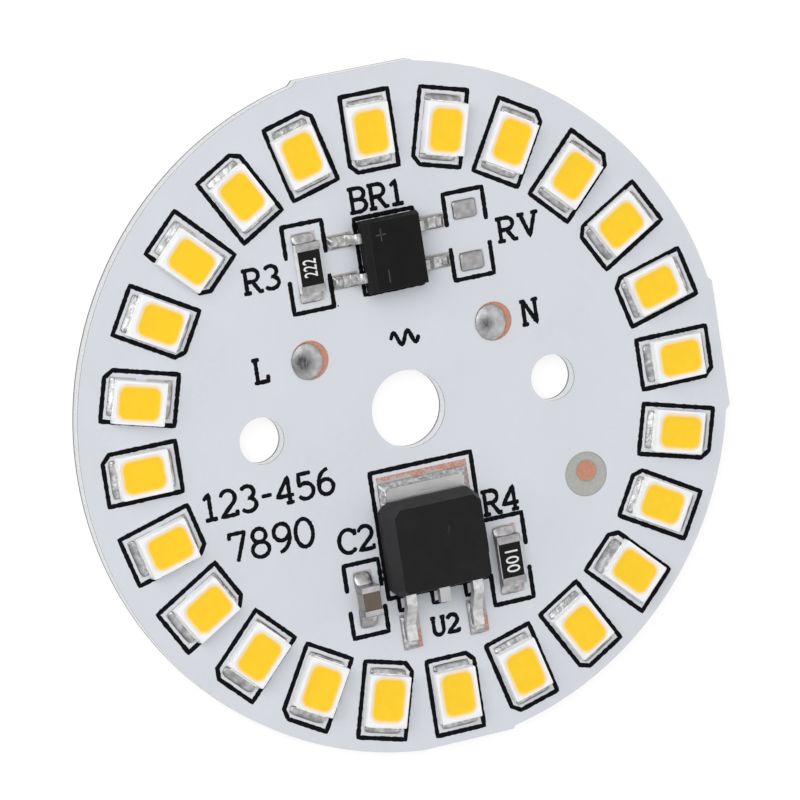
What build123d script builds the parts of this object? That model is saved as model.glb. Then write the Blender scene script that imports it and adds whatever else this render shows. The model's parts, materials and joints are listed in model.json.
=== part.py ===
from build123d import *
import os
from math import atan2, ceil, cos, degrees, floor, radians, sin, sqrt

# Round LED board on an aluminium core, with its mains driver on the same face.
# Millimetres. The origin is on the back face, on the axis of the wire hole.
# The board lies in XY and its parts stand on the +Z side.

# Blank: punched disc with straight break-off stubs on three sides, cut off just inside its rim
board_radius = 22.0
stub_inset = 0.15
stub_depth = 1.0
right_stub = (-4.20, 4.00)
top_stub = (-3.65, 4.10)
bottom_stub = (0.0, 3.75)
wire_hole_radius = 2.5
screw_hole_radius = 1.5
screw_hole_offset = 10.0

# Layers, from the back
core_thickness = 1.0
dielectric_thickness = 0.08
copper_thickness = 0.035
mask_cover = 0.02
ink_thickness = 0.015
joint_thickness = 0.05

# The etched and printed artwork lies a little off the centre of the blank
artwork_dx = 0.187
artwork_dy = -0.417

# Artwork rules
copper_gap = 0.40
track_width = 0.65
spoke_width = 2.20
spreader_length = 5.70
pad_border = 0.10
ink_width = 0.25
paste_border = 0.03
paste_dx = -0.12
paste_dy = -0.08

# LED ring
led_count = 24
leds_per_pour = 4
led_rim_inset = 3.70

# LEDs that slid while their solder was molten: how far outwards and how far round the ring
led_slips = {
    0: (0.10, 0.0), 1: (-0.05, 0.15), 2: (0.05, 0.15), 5: (-0.05, -0.20), 6: (0.10, 0.10),
    7: (-0.05, 0.15), 9: (-0.05, 0.40), 11: (0.10, 0.30), 13: (-0.10, 0.20), 14: (-0.10, 0.20),
    15: (-0.20, 0.10), 16: (-0.15, 0.10), 21: (0.30, 0.15),
}

# LED package, long side radial
led_length = 3.40
led_width = 2.80
led_height = 0.70
led_wall_draft = 4.0
cup_length = 2.90
cup_width = 2.20
cup_corner = 0.45
cup_shift = 0.09
cup_draft = 20.0
phosphor_dip = 0.03
plate_thickness = 0.20
plate_width = 2.10
plate_proud = 0.04
plate_split = -0.45
plate_gap = 0.30
die_length = 1.10
die_width = 0.55
die_height = 0.15
led_pad_start = 0.35
led_pad_width = 2.45
led_pad_reach = 0.42
led_joint_height = 0.22
led_joint_run = 0.30
led_frame_length = 4.90
led_frame_width = 3.24
led_frame_clip = 0.50

# Bridge rectifier, leads along X
rectifier_x = 0.07
rectifier_y = 10.58
rectifier_width = 3.95
rectifier_length = 4.70
rectifier_height = 1.40
rectifier_draft = 10.0
rectifier_edge_cut = 0.28
rectifier_lead_spacing = 2.54
rectifier_lead_width = 0.66
rectifier_lead_thickness = 0.20
rectifier_lead_span = 6.80
rectifier_foot_length = 0.60
rectifier_shoulder = 0.30
rectifier_bend_radius = 0.16
rectifier_lead_grip = 0.60
rectifier_pad_start = 2.27
rectifier_pad_length = 1.78
rectifier_pad_width = 0.95
rectifier_frame_width = 4.00
rectifier_frame_length = 4.85
rectifier_joint_height = 0.20
rectifier_joint_run = 0.25

# Driver in a tabbed three-lead package, tab towards the wire hole
driver_x = 0.0
driver_dx = -0.12
driver_tab_end_y = -4.24
driver_tab_proud = 0.82
driver_tab_width = 5.30
driver_tab_thickness = 0.50
driver_tab_corner = 0.25
driver_body_width = 6.60
driver_body_length = 6.10
driver_body_height = 2.30
driver_body_corner = 0.65
driver_lead_end_corner = 0.45
driver_skirt_height = 0.95
driver_skirt_draft = 2.0
driver_crown_draft = 14.0
driver_slug_length = 4.60
driver_lead_spacing = 2.30
driver_lead_width = 0.72
driver_lead_thickness = 0.50
driver_lead_level = 1.10
driver_lead_grip = 0.80
driver_lead_root = 0.18
driver_stub_length = 0.84
driver_shoulder = 0.60
driver_heel_run = 1.35
driver_foot_length = 1.08
driver_bend_radius = 0.40
driver_pad_width = 6.20
driver_pad_top_y = -3.50
driver_pad_bottom_y = -9.90
driver_toe_pad_width = 1.32
driver_toe_pad_length = 2.30
driver_toe_pad_end_y = -14.80
driver_frame_width = 6.94
driver_frame_top_y = -3.12
driver_frame_bottom_y = -11.30
driver_lead_box_width = 1.04
driver_lead_box_length = 0.90
driver_lead_box_ink = 0.20
driver_joint_height = 0.30
driver_joint_run = 0.35

# Chip resistors and the empty varistor site, long side along Y
resistor_length = 3.20
resistor_width = 1.60
resistor_height = 0.55
resistor_coat_length = 2.20
resistor_coat_margin = 0.06
resistor_film = 0.04
resistor_pad_start = 1.10
resistor_pad_length = 1.15
resistor_pad_width = 1.62
resistor_frame_width = 2.69
resistor_frame_length = 5.57
resistor_frame_opening = 1.10
bleed_x = -5.42
bleed_y = 10.63
varistor_x = 5.56
varistor_y = 10.63
sense_x = 4.95
sense_y = -10.48

# Chip capacitor, long side along Y
capacitor_x = -4.97
capacitor_y = -10.95
capacitor_length = 2.00
capacitor_width = 1.25
capacitor_height = 1.20
capacitor_cap_length = 0.42
capacitor_film = 0.04
capacitor_edge_cut = 0.08
capacitor_pad_start = 0.75
capacitor_pad_length = 1.10
capacitor_pad_width = 1.28
capacitor_frame_width = 2.37
capacitor_frame_length = 4.73
capacitor_frame_opening = 0.94
capacitor_joint_height = 0.75
chip_joint_height = 0.35
chip_joint_run = 0.40

# Mains pads and camera mark
mains_pad_x = 6.29
mains_pad_y = 4.80
mains_pad_radius = 1.25
mains_dome_height = 0.32
mains_dome_run = 0.42
varistor_tin_height = 0.06
varistor_tin_run = 0.15
mark_x = 11.09
mark_y = -6.20
mark_opening_radius = 1.45
mark_dot_radius = 0.66
mark_dot_dx = 0.07
mark_dot_dy = 0.21

# Heights that follow from the layers
dielectric_base = core_thickness
copper_base = dielectric_base + dielectric_thickness
copper_top = copper_base + copper_thickness
mask_top = copper_top + mask_cover
seat = copper_top + joint_thickness

artwork = Location((artwork_dx, artwork_dy, 0))

# Rings that follow from the rim and the LEDs
led_ring_radius = board_radius - led_rim_inset
led_step = 360 / led_count
led_pad_end = led_length / 2 + led_pad_reach
plate_end = led_length / 2 + plate_proud
pour_in = led_ring_radius - led_pad_end - 2 * pad_border
pour_out = led_ring_radius + led_pad_end + 2 * pad_border
split_in = led_ring_radius - led_pad_start + pad_border
split_out = led_ring_radius + led_pad_start - pad_border
pour_span = leds_per_pour * led_step
pour_slit = degrees(copper_gap / 2 / led_ring_radius)
bus_out = pour_in - copper_gap
bus_in = bus_out - track_width
bus_radius = (bus_in + bus_out) / 2


def block(x0, x1, y0, y1, z0, z1):
    """Box between two corners."""
    size = (abs(x1 - x0), abs(y1 - y0), abs(z1 - z0))
    middle = ((x0 + x1) / 2, (y0 + y1) / 2, (z0 + z1) / 2)
    return Pos(*middle) * Box(*size)


def patch(x0, x1, y0, y1):
    """Flat rectangle between two corners."""
    return Pos((x0 + x1) / 2, (y0 + y1) / 2) * Rectangle(abs(x1 - x0), abs(y1 - y0))


def ring_point(side_distance, angle):
    """Point at an angle on a ring that has one straight side at every LED."""
    off = (angle + led_step / 2) % led_step - led_step / 2
    radius = side_distance / cos(radians(off))
    return radius * cos(radians(angle)), radius * sin(radians(angle))


def sector(inner, outer, start, end):
    """Part of a many-sided ring; inner and outer are how far its sides lie from the centre."""
    first = floor(start / led_step - 0.5) + 1
    last = ceil(end / led_step - 0.5)
    corners = [(number + 0.5) * led_step for number in range(first, last)]
    angles = [start] + corners + [end]
    rim = [ring_point(outer, angle) for angle in angles]
    hub = [ring_point(inner, angle) for angle in reversed(angles)]
    return make_face(Polyline(*rim, *hub, close=True))


def slab(flat, base, height):
    """A flat shape as a layer that starts at the given height."""
    return Pos(0, 0, base) * extrude(flat, height)


# Layout of the LEDs: every second pair faces inwards

def led_angle(index):
    return index * led_step


def led_faces_out(index):
    return index % leds_per_pour in (0, leds_per_pour - 1)


def led_site(index):
    """Printed place of an LED; local +X points to its cathode end."""
    turn = led_angle(index)
    facing = 0 if led_faces_out(index) else 180
    return Rot(0, 0, turn) * Pos(led_ring_radius, 0) * Rot(0, 0, facing)


def led_place(index):
    """Where the LED itself sits, on top of its joints."""
    outward, around = led_slips.get(index, (0, 0))
    sense = 1 if led_faces_out(index) else -1
    return artwork * led_site(index) * Pos(sense * outward, sense * around, seat)


# Pads: the openings of the solder mask, in artwork coordinates

def led_pad_pair():
    return [
        patch(led_pad_start, led_pad_end, -led_pad_width / 2, led_pad_width / 2),
        patch(-led_pad_end, -led_pad_start, -led_pad_width / 2, led_pad_width / 2),
    ]


def chip_pad_pair(x, y, start, length, width):
    upper = patch(x - width / 2, x + width / 2, y + start, y + start + length)
    lower = patch(x - width / 2, x + width / 2, y - start - length, y - start)
    return [upper, lower]


def resistor_pads(x, y):
    return chip_pad_pair(x, y, resistor_pad_start, resistor_pad_length, resistor_pad_width)


def capacitor_pads():
    return chip_pad_pair(
        capacitor_x, capacitor_y, capacitor_pad_start, capacitor_pad_length, capacitor_pad_width
    )


def rectifier_pad(side, level):
    """side is -1 on the left and 1 on the right, level 1 is the upper lead."""
    inner = rectifier_x + side * rectifier_pad_start
    outer = inner + side * rectifier_pad_length
    middle = rectifier_y + level * rectifier_lead_spacing / 2
    return patch(inner, outer, middle - rectifier_pad_width / 2, middle + rectifier_pad_width / 2)


def driver_tab_pad():
    half = driver_pad_width / 2
    return patch(driver_x - half, driver_x + half, driver_pad_bottom_y, driver_pad_top_y)


def driver_toe_pad(side):
    middle = driver_x + side * driver_lead_spacing
    half = driver_toe_pad_width / 2
    top = driver_toe_pad_end_y + driver_toe_pad_length
    return patch(middle - half, middle + half, driver_toe_pad_end_y, top)


def mains_pad(side):
    return Pos(rectifier_x + side * mains_pad_x, mains_pad_y) * Circle(mains_pad_radius)


def mark_opening():
    return Pos(mark_x, mark_y) * Circle(mark_opening_radius)


def all_pads():
    pads = []
    for index in range(led_count):
        pads += [led_site(index) * pad for pad in led_pad_pair()]
    for side in (-1, 1):
        for level in (-1, 1):
            pads.append(rectifier_pad(side, level))
        pads.append(driver_toe_pad(side))
        pads.append(mains_pad(side))
    pads.append(driver_tab_pad())
    pads += resistor_pads(bleed_x, bleed_y)
    pads += resistor_pads(varistor_x, varistor_y)
    pads += resistor_pads(sense_x, sense_y)
    pads += capacitor_pads()
    pads.append(mark_opening())
    return pads


# Board layers

def outline():
    """Punched outline with its holes."""
    disc = Circle(board_radius)
    level = board_radius - stub_inset
    foot = level - stub_depth
    for turn, (start, end) in ((0, right_stub), (90, top_stub), (270, bottom_stub)):
        stub = make_face(Polyline(
            (foot, start - stub_depth), (level, start), (level, end), (foot, end + stub_depth), close=True
        ))
        disc -= Rot(0, 0, turn) * patch(level, board_radius + stub_inset, -board_radius, board_radius)
        disc += Rot(0, 0, turn) * stub
    disc -= Circle(wire_hole_radius)
    for side in (-1, 1):
        disc -= Pos(side * screw_hole_offset, 0) * Circle(screw_hole_radius)
    return disc


def bordered(pad):
    """Rectangle of copper under a pad, with its border under the mask."""
    box = pad.bounding_box()
    return patch(
        box.min.X - pad_border, box.max.X + pad_border, box.min.Y - pad_border, box.max.Y + pad_border
    )


def pad_box(pad):
    """Left, right, bottom and top of a pad's copper."""
    box = bordered(pad).bounding_box()
    return box.min.X, box.max.X, box.min.Y, box.max.Y


def track(x0, x1, y):
    """Track along X."""
    return patch(x0, x1, y - track_width / 2, y + track_width / 2)


def riser(x, y0, y1):
    """Track along Y."""
    return patch(x - track_width / 2, x + track_width / 2, y0, y1)


def strap(first, second):
    """Copper between two neighbouring pads, over the height that both have."""
    left_a, right_a, bottom_a, top_a = pad_box(first)
    left_b, right_b, bottom_b, top_b = pad_box(second)
    x0 = (left_a + right_a) / 2
    x1 = (left_b + right_b) / 2
    return patch(x0, x1, max(bottom_a, bottom_b), min(top_a, top_b))


def beside(radius, height):
    """How far a ring of this radius lies to the side of the centre at a height."""
    return sqrt(radius ** 2 - height ** 2)


def led_pours():
    """Copper that links the LEDs; the last inner pour is left to the supply and the driver."""
    pours = []
    pour_count = led_count // leds_per_pour
    for number in range(pour_count):
        inner = led_step / 2 + number * pour_span
        outer = inner + pour_span / 2
        pours.append(sector(split_out, pour_out, outer + pour_slit, outer + pour_span - pour_slit))
        if number < pour_count - 1:
            pours.append(sector(pour_in, split_in, inner + pour_slit, inner + pour_span - pour_slit))
    return pours


def half_pour(start):
    return sector(pour_in, split_in, start + pour_slit, start + pour_span / 2 - pour_slit)


def supply_net():
    """Upper left rectifier lead, bleed resistor, and the ring over the top to the last LEDs."""
    bleed_pad = resistor_pads(bleed_x, bleed_y)[0]
    left = pad_box(bleed_pad)[0]
    top = pad_box(bleed_pad)[3]
    net = strap(bleed_pad, rectifier_pad(-1, 1))
    net += bordered(bleed_pad) + bordered(rectifier_pad(-1, 1))
    link_x = left + track_width / 2
    link_y = beside(bus_radius, link_x)
    net += riser(link_x, top - track_width, link_y)
    net += sector(bus_in, bus_out, -led_step, degrees(atan2(link_y, left)))
    net += sector(bus_in, split_in, -led_step, 0)
    return net + half_pour((led_step - pour_span) / 2)


def output_net():
    """Driver tab with its spreader, upper end of the capacitor, and the first LEDs."""
    tab_pad = driver_tab_pad()
    capacitor_pad = capacitor_pads()[0]
    sense_pad = resistor_pads(sense_x, sense_y)[0]
    spreader_end = pad_box(tab_pad)[1] + spreader_length
    spreader_bottom = pad_box(sense_pad)[3] + 2 * copper_gap
    net = bordered(tab_pad) + patch(driver_x, spreader_end, spreader_bottom, pad_box(tab_pad)[3])
    net += bordered(capacitor_pad) + strap(capacitor_pad, tab_pad)
    spoke = patch(-spreader_bottom, pour_in + pad_border, -spoke_width / 2, spoke_width / 2)
    net += Rot(0, 0, led_angle(led_count - leds_per_pour + 1)) * spoke
    return net + half_pour(led_step / 2 - pour_span)


def return_net():
    """Lower left rectifier lead, round the left screw hole to the driver and the sense resistor."""
    bleed_pad = resistor_pads(bleed_x, bleed_y)[1]
    capacitor_pad = capacitor_pads()[1]
    sense_pad = resistor_pads(sense_x, sense_y)[0]
    toe_pad = driver_toe_pad(-1)
    net = bordered(rectifier_pad(-1, -1)) + bordered(bleed_pad)
    net += strap(bleed_pad, rectifier_pad(-1, -1))
    net += bordered(capacitor_pad) + bordered(toe_pad) + strap(capacitor_pad, toe_pad)
    bleed_level = bleed_y - resistor_pad_start - resistor_pad_length / 2
    capacitor_level = capacitor_y - capacitor_pad_start - capacitor_pad_length / 2
    bleed_side = -beside(bus_radius, bleed_level)
    capacitor_side = -beside(bus_radius, capacitor_level)
    net += track(bleed_side, bleed_x, bleed_level)
    net += track(capacitor_side, capacitor_x, capacitor_level)
    start = degrees(atan2(bleed_level, bleed_side))
    end = 360 + degrees(atan2(capacitor_level, capacitor_side))
    net += sector(bus_in, bus_out, start, end)
    cross_level = pad_box(driver_tab_pad())[2] - copper_gap - track_width / 2
    sense_riser_x = pad_box(sense_pad)[0] + track_width / 2
    toe_riser_x = driver_x - driver_lead_spacing
    net += track(toe_riser_x - track_width / 2, sense_riser_x + track_width / 2, cross_level)
    net += riser(toe_riser_x, pad_box(toe_pad)[2], cross_level)
    net += riser(sense_riser_x, cross_level, pad_box(sense_pad)[3])
    return net + bordered(sense_pad)


def sense_net():
    """Right driver lead and the lower end of the sense resistor."""
    sense_pad = resistor_pads(sense_x, sense_y)[1]
    toe_pad = driver_toe_pad(1)
    return bordered(toe_pad) + bordered(sense_pad) + strap(toe_pad, sense_pad)


def live_net():
    """Left mains pad, lower right rectifier lead and lower varistor pad."""
    varistor_pad = resistor_pads(varistor_x, varistor_y)[1]
    lead_pad = rectifier_pad(1, -1)
    level = mains_pad_y + mains_pad_radius / 2
    riser_x = pad_box(lead_pad)[0] + track_width / 2
    net = bordered(mains_pad(-1)) + track(rectifier_x - mains_pad_x, riser_x + track_width / 2, level)
    net += riser(riser_x, level, pad_box(lead_pad)[3])
    return net + bordered(lead_pad) + bordered(varistor_pad) + strap(lead_pad, varistor_pad)


def neutral_net():
    """Right mains pad, upper right rectifier lead and upper varistor pad."""
    varistor_pad, lower_pad = resistor_pads(varistor_x, varistor_y)
    lead_pad = rectifier_pad(1, 1)
    riser_x = pad_box(lower_pad)[1] + copper_gap + track_width / 2
    level = varistor_y + resistor_pad_start + resistor_pad_length / 2
    net = bordered(mains_pad(1)) + riser(riser_x, mains_pad_y, level + track_width / 2)
    net += track(varistor_x, riser_x, level)
    return net + bordered(lead_pad) + bordered(varistor_pad) + strap(lead_pad, varistor_pad)


def mark_dot():
    """Bare copper dot of the camera mark."""
    return Pos(mark_x + mark_dot_dx, mark_y + mark_dot_dy) * Circle(mark_dot_radius)


def copper_nets():
    """One flat shape for each island of copper, in artwork coordinates."""
    nets = led_pours()
    nets += [supply_net(), output_net(), return_net(), sense_net(), live_net(), neutral_net()]
    return nets + [mark_dot()]


def aluminium_base():
    return slab(outline(), 0, core_thickness)


def dielectric_layer():
    return slab(outline(), dielectric_base, dielectric_thickness)


def copper_layer(nets):
    return [artwork * slab(net, copper_base, copper_thickness) for net in nets]


def solder_mask(islands):
    """White mask: fills between the copper, covers it and is open at the pads."""
    flat = outline()
    flat -= [artwork * pad for pad in all_pads()]
    return slab(flat, copper_base, copper_thickness + mask_cover) - islands


# Printed outlines

def hollow_frame(width, length, line=ink_width):
    return Rectangle(width + line, length + line) - Rectangle(width - line, length - line)


def led_frame():
    """Outline with one clipped corner, which marks the cathode."""
    half_x = led_frame_length / 2
    half_y = led_frame_width / 2
    path = make_face(Polyline(
        (-half_x, -half_y), (half_x - led_frame_clip, -half_y), (half_x, led_frame_clip - half_y),
        (half_x, half_y), (-half_x, half_y), close=True
    ))
    outer = offset(path, ink_width / 2, kind=Kind.INTERSECTION)
    return outer - offset(path, -ink_width / 2, kind=Kind.INTERSECTION)


def bracket_pair(x, y, width, length, opening):
    """Two facing brackets round a chip, open at the middle of its long sides."""
    ring = hollow_frame(width, length)
    return Pos(x, y) * (ring - Rectangle(2 * width, opening))


def driver_frame():
    """Outline of the driver with a small box at each lead."""
    length = driver_frame_top_y - driver_frame_bottom_y
    middle_y = (driver_frame_top_y + driver_frame_bottom_y) / 2
    flat = Pos(driver_x, middle_y) * hollow_frame(driver_frame_width, length)
    for side in (-1, 0, 1):
        lead_box = hollow_frame(driver_lead_box_width, driver_lead_box_length, driver_lead_box_ink)
        middle = driver_frame_bottom_y - driver_lead_box_length / 2
        flat += Pos(driver_x + side * driver_lead_spacing, middle) * lead_box
    return flat


def printed_outlines():
    prints = [led_site(index) * led_frame() for index in range(led_count)]
    rectifier_frame = hollow_frame(rectifier_frame_width, rectifier_frame_length)
    prints.append(Pos(rectifier_x, rectifier_y) * rectifier_frame)
    prints.append(driver_frame())
    for x, y in ((bleed_x, bleed_y), (varistor_x, varistor_y), (sense_x, sense_y)):
        prints.append(bracket_pair(
            x, y, resistor_frame_width, resistor_frame_length, resistor_frame_opening
        ))
    prints.append(bracket_pair(
        capacitor_x, capacitor_y, capacitor_frame_width, capacitor_frame_length, capacitor_frame_opening
    ))
    return [artwork * slab(flat, mask_top, ink_thickness) for flat in prints]


# LED package, built on its own seat at z = 0

def led_plates():
    """Two lead frame plates, cathode first; the die stands on the longer one."""
    half = plate_width / 2
    cathode = block(plate_split + plate_gap / 2, plate_end, -half, half, 0, plate_thickness)
    anode = block(-plate_end, plate_split - plate_gap / 2, -half, half, 0, plate_thickness)
    return [cathode, anode]


def led_cup():
    """Space of the reflector cup, narrowing from its rim down to the plates."""
    rim = chamfer(Rectangle(cup_length, cup_width).vertices(), cup_corner)
    funnel = mirror(extrude(rim, led_height - plate_thickness, taper=cup_draft), Plane.XY)
    return Pos(cup_shift, 0, led_height) * funnel


def led_die():
    """Die on the part of the longer plate that the cup leaves bare."""
    cup_floor = led_cup().faces().sort_by(Axis.Z)[0].bounding_box()
    middle = (plate_split + plate_gap / 2 + cup_floor.max.X) / 2
    return Pos(middle, 0, plate_thickness + die_height / 2) * Box(die_length, die_width, die_height)


def led_housing():
    """White moulded housing round the plates, with its cup."""
    outer = extrude(Rectangle(led_length, led_width), led_height, taper=led_wall_draft)
    return outer - led_plates() - led_cup()


def led_phosphor():
    """Resin that fills the cup and lies a little below its rim."""
    fill = led_cup() & block(
        -led_length, led_length, -led_width, led_width, plate_thickness, led_height - phosphor_dip
    )
    return fill - led_die()


# Solder: a mound on the wetted part of a pad, less what stands in it

def paste_on(pad):
    """Wetted part of a pad: the paste was printed a little to the lower left."""
    wet = offset(pad, -paste_border, kind=Kind.INTERSECTION)
    return wet & (Pos(paste_dx, paste_dy) * wet)


def slope_of(height, run):
    """Draft angle of a side that leans in by run over its height."""
    return degrees(atan2(run, height))


def mound(pad, height, run):
    """Solder on a pad, sloping in from its edge over the given run."""
    solder = extrude(paste_on(pad), height, taper=slope_of(height, run))
    return artwork * Pos(0, 0, copper_top) * solder


def led_joints(index, package):
    joints = []
    for pad in led_pad_pair():
        height = joint_thickness + led_joint_height
        joints.append(mound(led_site(index) * pad, height, led_joint_run) - package)
    return joints


# Bridge rectifier, built on its seat at z = 0 about its own centre

def rectifier_case():
    """Moulded body that narrows up and down from its parting line, cut along its direct-current side."""
    half = rectifier_height / 2
    parting = Rectangle(rectifier_width, rectifier_length)
    crown = extrude(parting, half, taper=rectifier_draft)
    left_edge = crown.edges().group_by(Axis.Z)[-1].sort_by(Axis.X)[0]
    return Pos(0, 0, half) * (chamfer(left_edge, rectifier_edge_cut) + mirror(crown, Plane.XY))


def rectifier_lead(side, level):
    """Gull-wing lead from inside the body to its foot."""
    thickness = rectifier_lead_thickness
    root = rectifier_width / 2 - rectifier_lead_grip
    shoulder = rectifier_width / 2 + rectifier_shoulder
    toe = rectifier_lead_span / 2
    heel = toe - rectifier_foot_length
    raised = rectifier_height / 2
    path = FilletPolyline(
        (root, raised), (shoulder, raised), (heel, thickness / 2), (toe, thickness / 2),
        radius=rectifier_bend_radius
    )
    strip = extrude(Plane.XZ * trace(path, thickness), rectifier_lead_width / 2, both=True)
    turned = strip if side > 0 else Rot(0, 0, 180) * strip
    return Pos(0, level * rectifier_lead_spacing / 2, 0) * turned


# Driver, built on its seat at z = 0; y runs as on the board, x from its own middle

driver_body_top_y = driver_tab_end_y - driver_tab_proud
driver_body_end_y = driver_body_top_y - driver_body_length


def driver_plan():
    """Plan of the moulded body, with its four corners cut."""
    half = driver_body_width / 2
    cut = driver_body_corner
    end_cut = driver_lead_end_corner
    return make_face(Polyline(
        (cut - half, driver_body_top_y), (-half, driver_body_top_y - cut),
        (-half, driver_body_end_y + end_cut), (end_cut - half, driver_body_end_y),
        (half - end_cut, driver_body_end_y), (half, driver_body_end_y + end_cut),
        (half, driver_body_top_y - cut), (half - cut, driver_body_top_y), close=True
    ))


def driver_case():
    """Moulded body: a nearly upright skirt under a drafted crown."""
    parting = driver_plan()
    crown = extrude(parting, driver_body_height - driver_skirt_height, taper=driver_crown_draft)
    skirt = mirror(extrude(parting, driver_skirt_height, taper=driver_skirt_draft), Plane.XY)
    return Pos(0, 0, driver_skirt_height) * (crown + skirt)


def driver_lead_strip(points, x):
    """Lead of constant section along points given as (y, z)."""
    path = FilletPolyline(*points, radius=driver_bend_radius)
    profile = Plane.YZ * trace(path, driver_lead_thickness)
    return Pos(x, 0, 0) * extrude(profile, driver_lead_width / 2, both=True)


def driver_lead(side):
    """Formed lead: out of the body, down and along its pad."""
    root = driver_body_end_y + driver_lead_grip
    shoulder = driver_body_end_y - driver_shoulder
    heel = shoulder - driver_heel_run
    toe = heel - driver_foot_length
    foot = driver_lead_thickness / 2
    points = [(root, driver_lead_level), (shoulder, driver_lead_level), (heel, foot), (toe, foot)]
    return driver_lead_strip(points, side * driver_lead_spacing)


def driver_heat_tab():
    """Copper tab and slug, with the short middle lead bent up from it."""
    half = driver_tab_width / 2
    slug_end = driver_body_top_y - driver_slug_length
    cut = driver_tab_corner
    plan = make_face(Polyline(
        (cut - half, driver_tab_end_y), (-half, driver_tab_end_y - cut), (-half, slug_end),
        (half, slug_end), (half, driver_tab_end_y - cut), (half - cut, driver_tab_end_y), close=True
    ))
    foot = driver_lead_thickness / 2
    bend_y = (slug_end + driver_body_end_y) / 2
    points = [
        (slug_end + driver_lead_grip, foot), (slug_end - driver_lead_root, foot),
        (bend_y, driver_lead_level), (driver_body_end_y - driver_stub_length, driver_lead_level)
    ]
    middle_lead = driver_lead_strip(points, 0)
    return extrude(plan, driver_tab_thickness) + middle_lead


# Chips, built on their seats at z = 0, long side along Y

def resistor_pieces():
    """Ceramic, black coat and the two wrapped terminals of a chip resistor."""
    film = resistor_film
    half_length = resistor_length / 2
    half_width = resistor_width / 2
    top = resistor_height - film
    ceramic = block(-half_width, half_width, film - half_length, half_length - film, film, top)
    half_coat = resistor_coat_length / 2
    coat_half_width = half_width - resistor_coat_margin
    coat = block(-coat_half_width, coat_half_width, -half_coat, half_coat, top, resistor_height)
    terminals = []
    for end in (-1, 1):
        wrap = block(-half_width, half_width, end * half_coat, end * half_length, 0, resistor_height)
        terminals.append(wrap - ceramic)
    return ceramic, coat, terminals


def capacitor_pieces():
    """Ceramic and the two end caps of a chip capacitor."""
    film = capacitor_film
    half_length = capacitor_length / 2
    half_width = capacitor_width / 2
    ceramic = block(
        film - half_width, half_width - film, film - half_length, half_length - film,
        film, capacitor_height - film
    )
    caps = []
    for end in (-1, 1):
        start = end * (half_length - capacitor_cap_length)
        cap = block(-half_width, half_width, start, end * half_length, 0, capacitor_height)
        ridges = cap.edges().filter_by(Axis.X).sort_by(Axis.Y)
        ridges = ridges[-2:] if end > 0 else ridges[:2]
        caps.append(chamfer(ridges, capacitor_edge_cut) - ceramic)
    return ceramic, caps


def chip_envelope(x, y, length, width, height):
    """Space that a chip takes, at its place on the board."""
    return artwork * Pos(x, y, seat + height / 2) * Box(width, length, height)


def mains_dome(side):
    """Low tinned dome on a mains pad."""
    wet = Circle(mains_pad_radius + paste_dx)
    dome = extrude(wet, mains_dome_height, taper=slope_of(mains_dome_height, mains_dome_run))
    x = rectifier_x + side * mains_pad_x + paste_dx / 2
    return artwork * Pos(x, mains_pad_y + paste_dy / 2, copper_top) * dome


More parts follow.
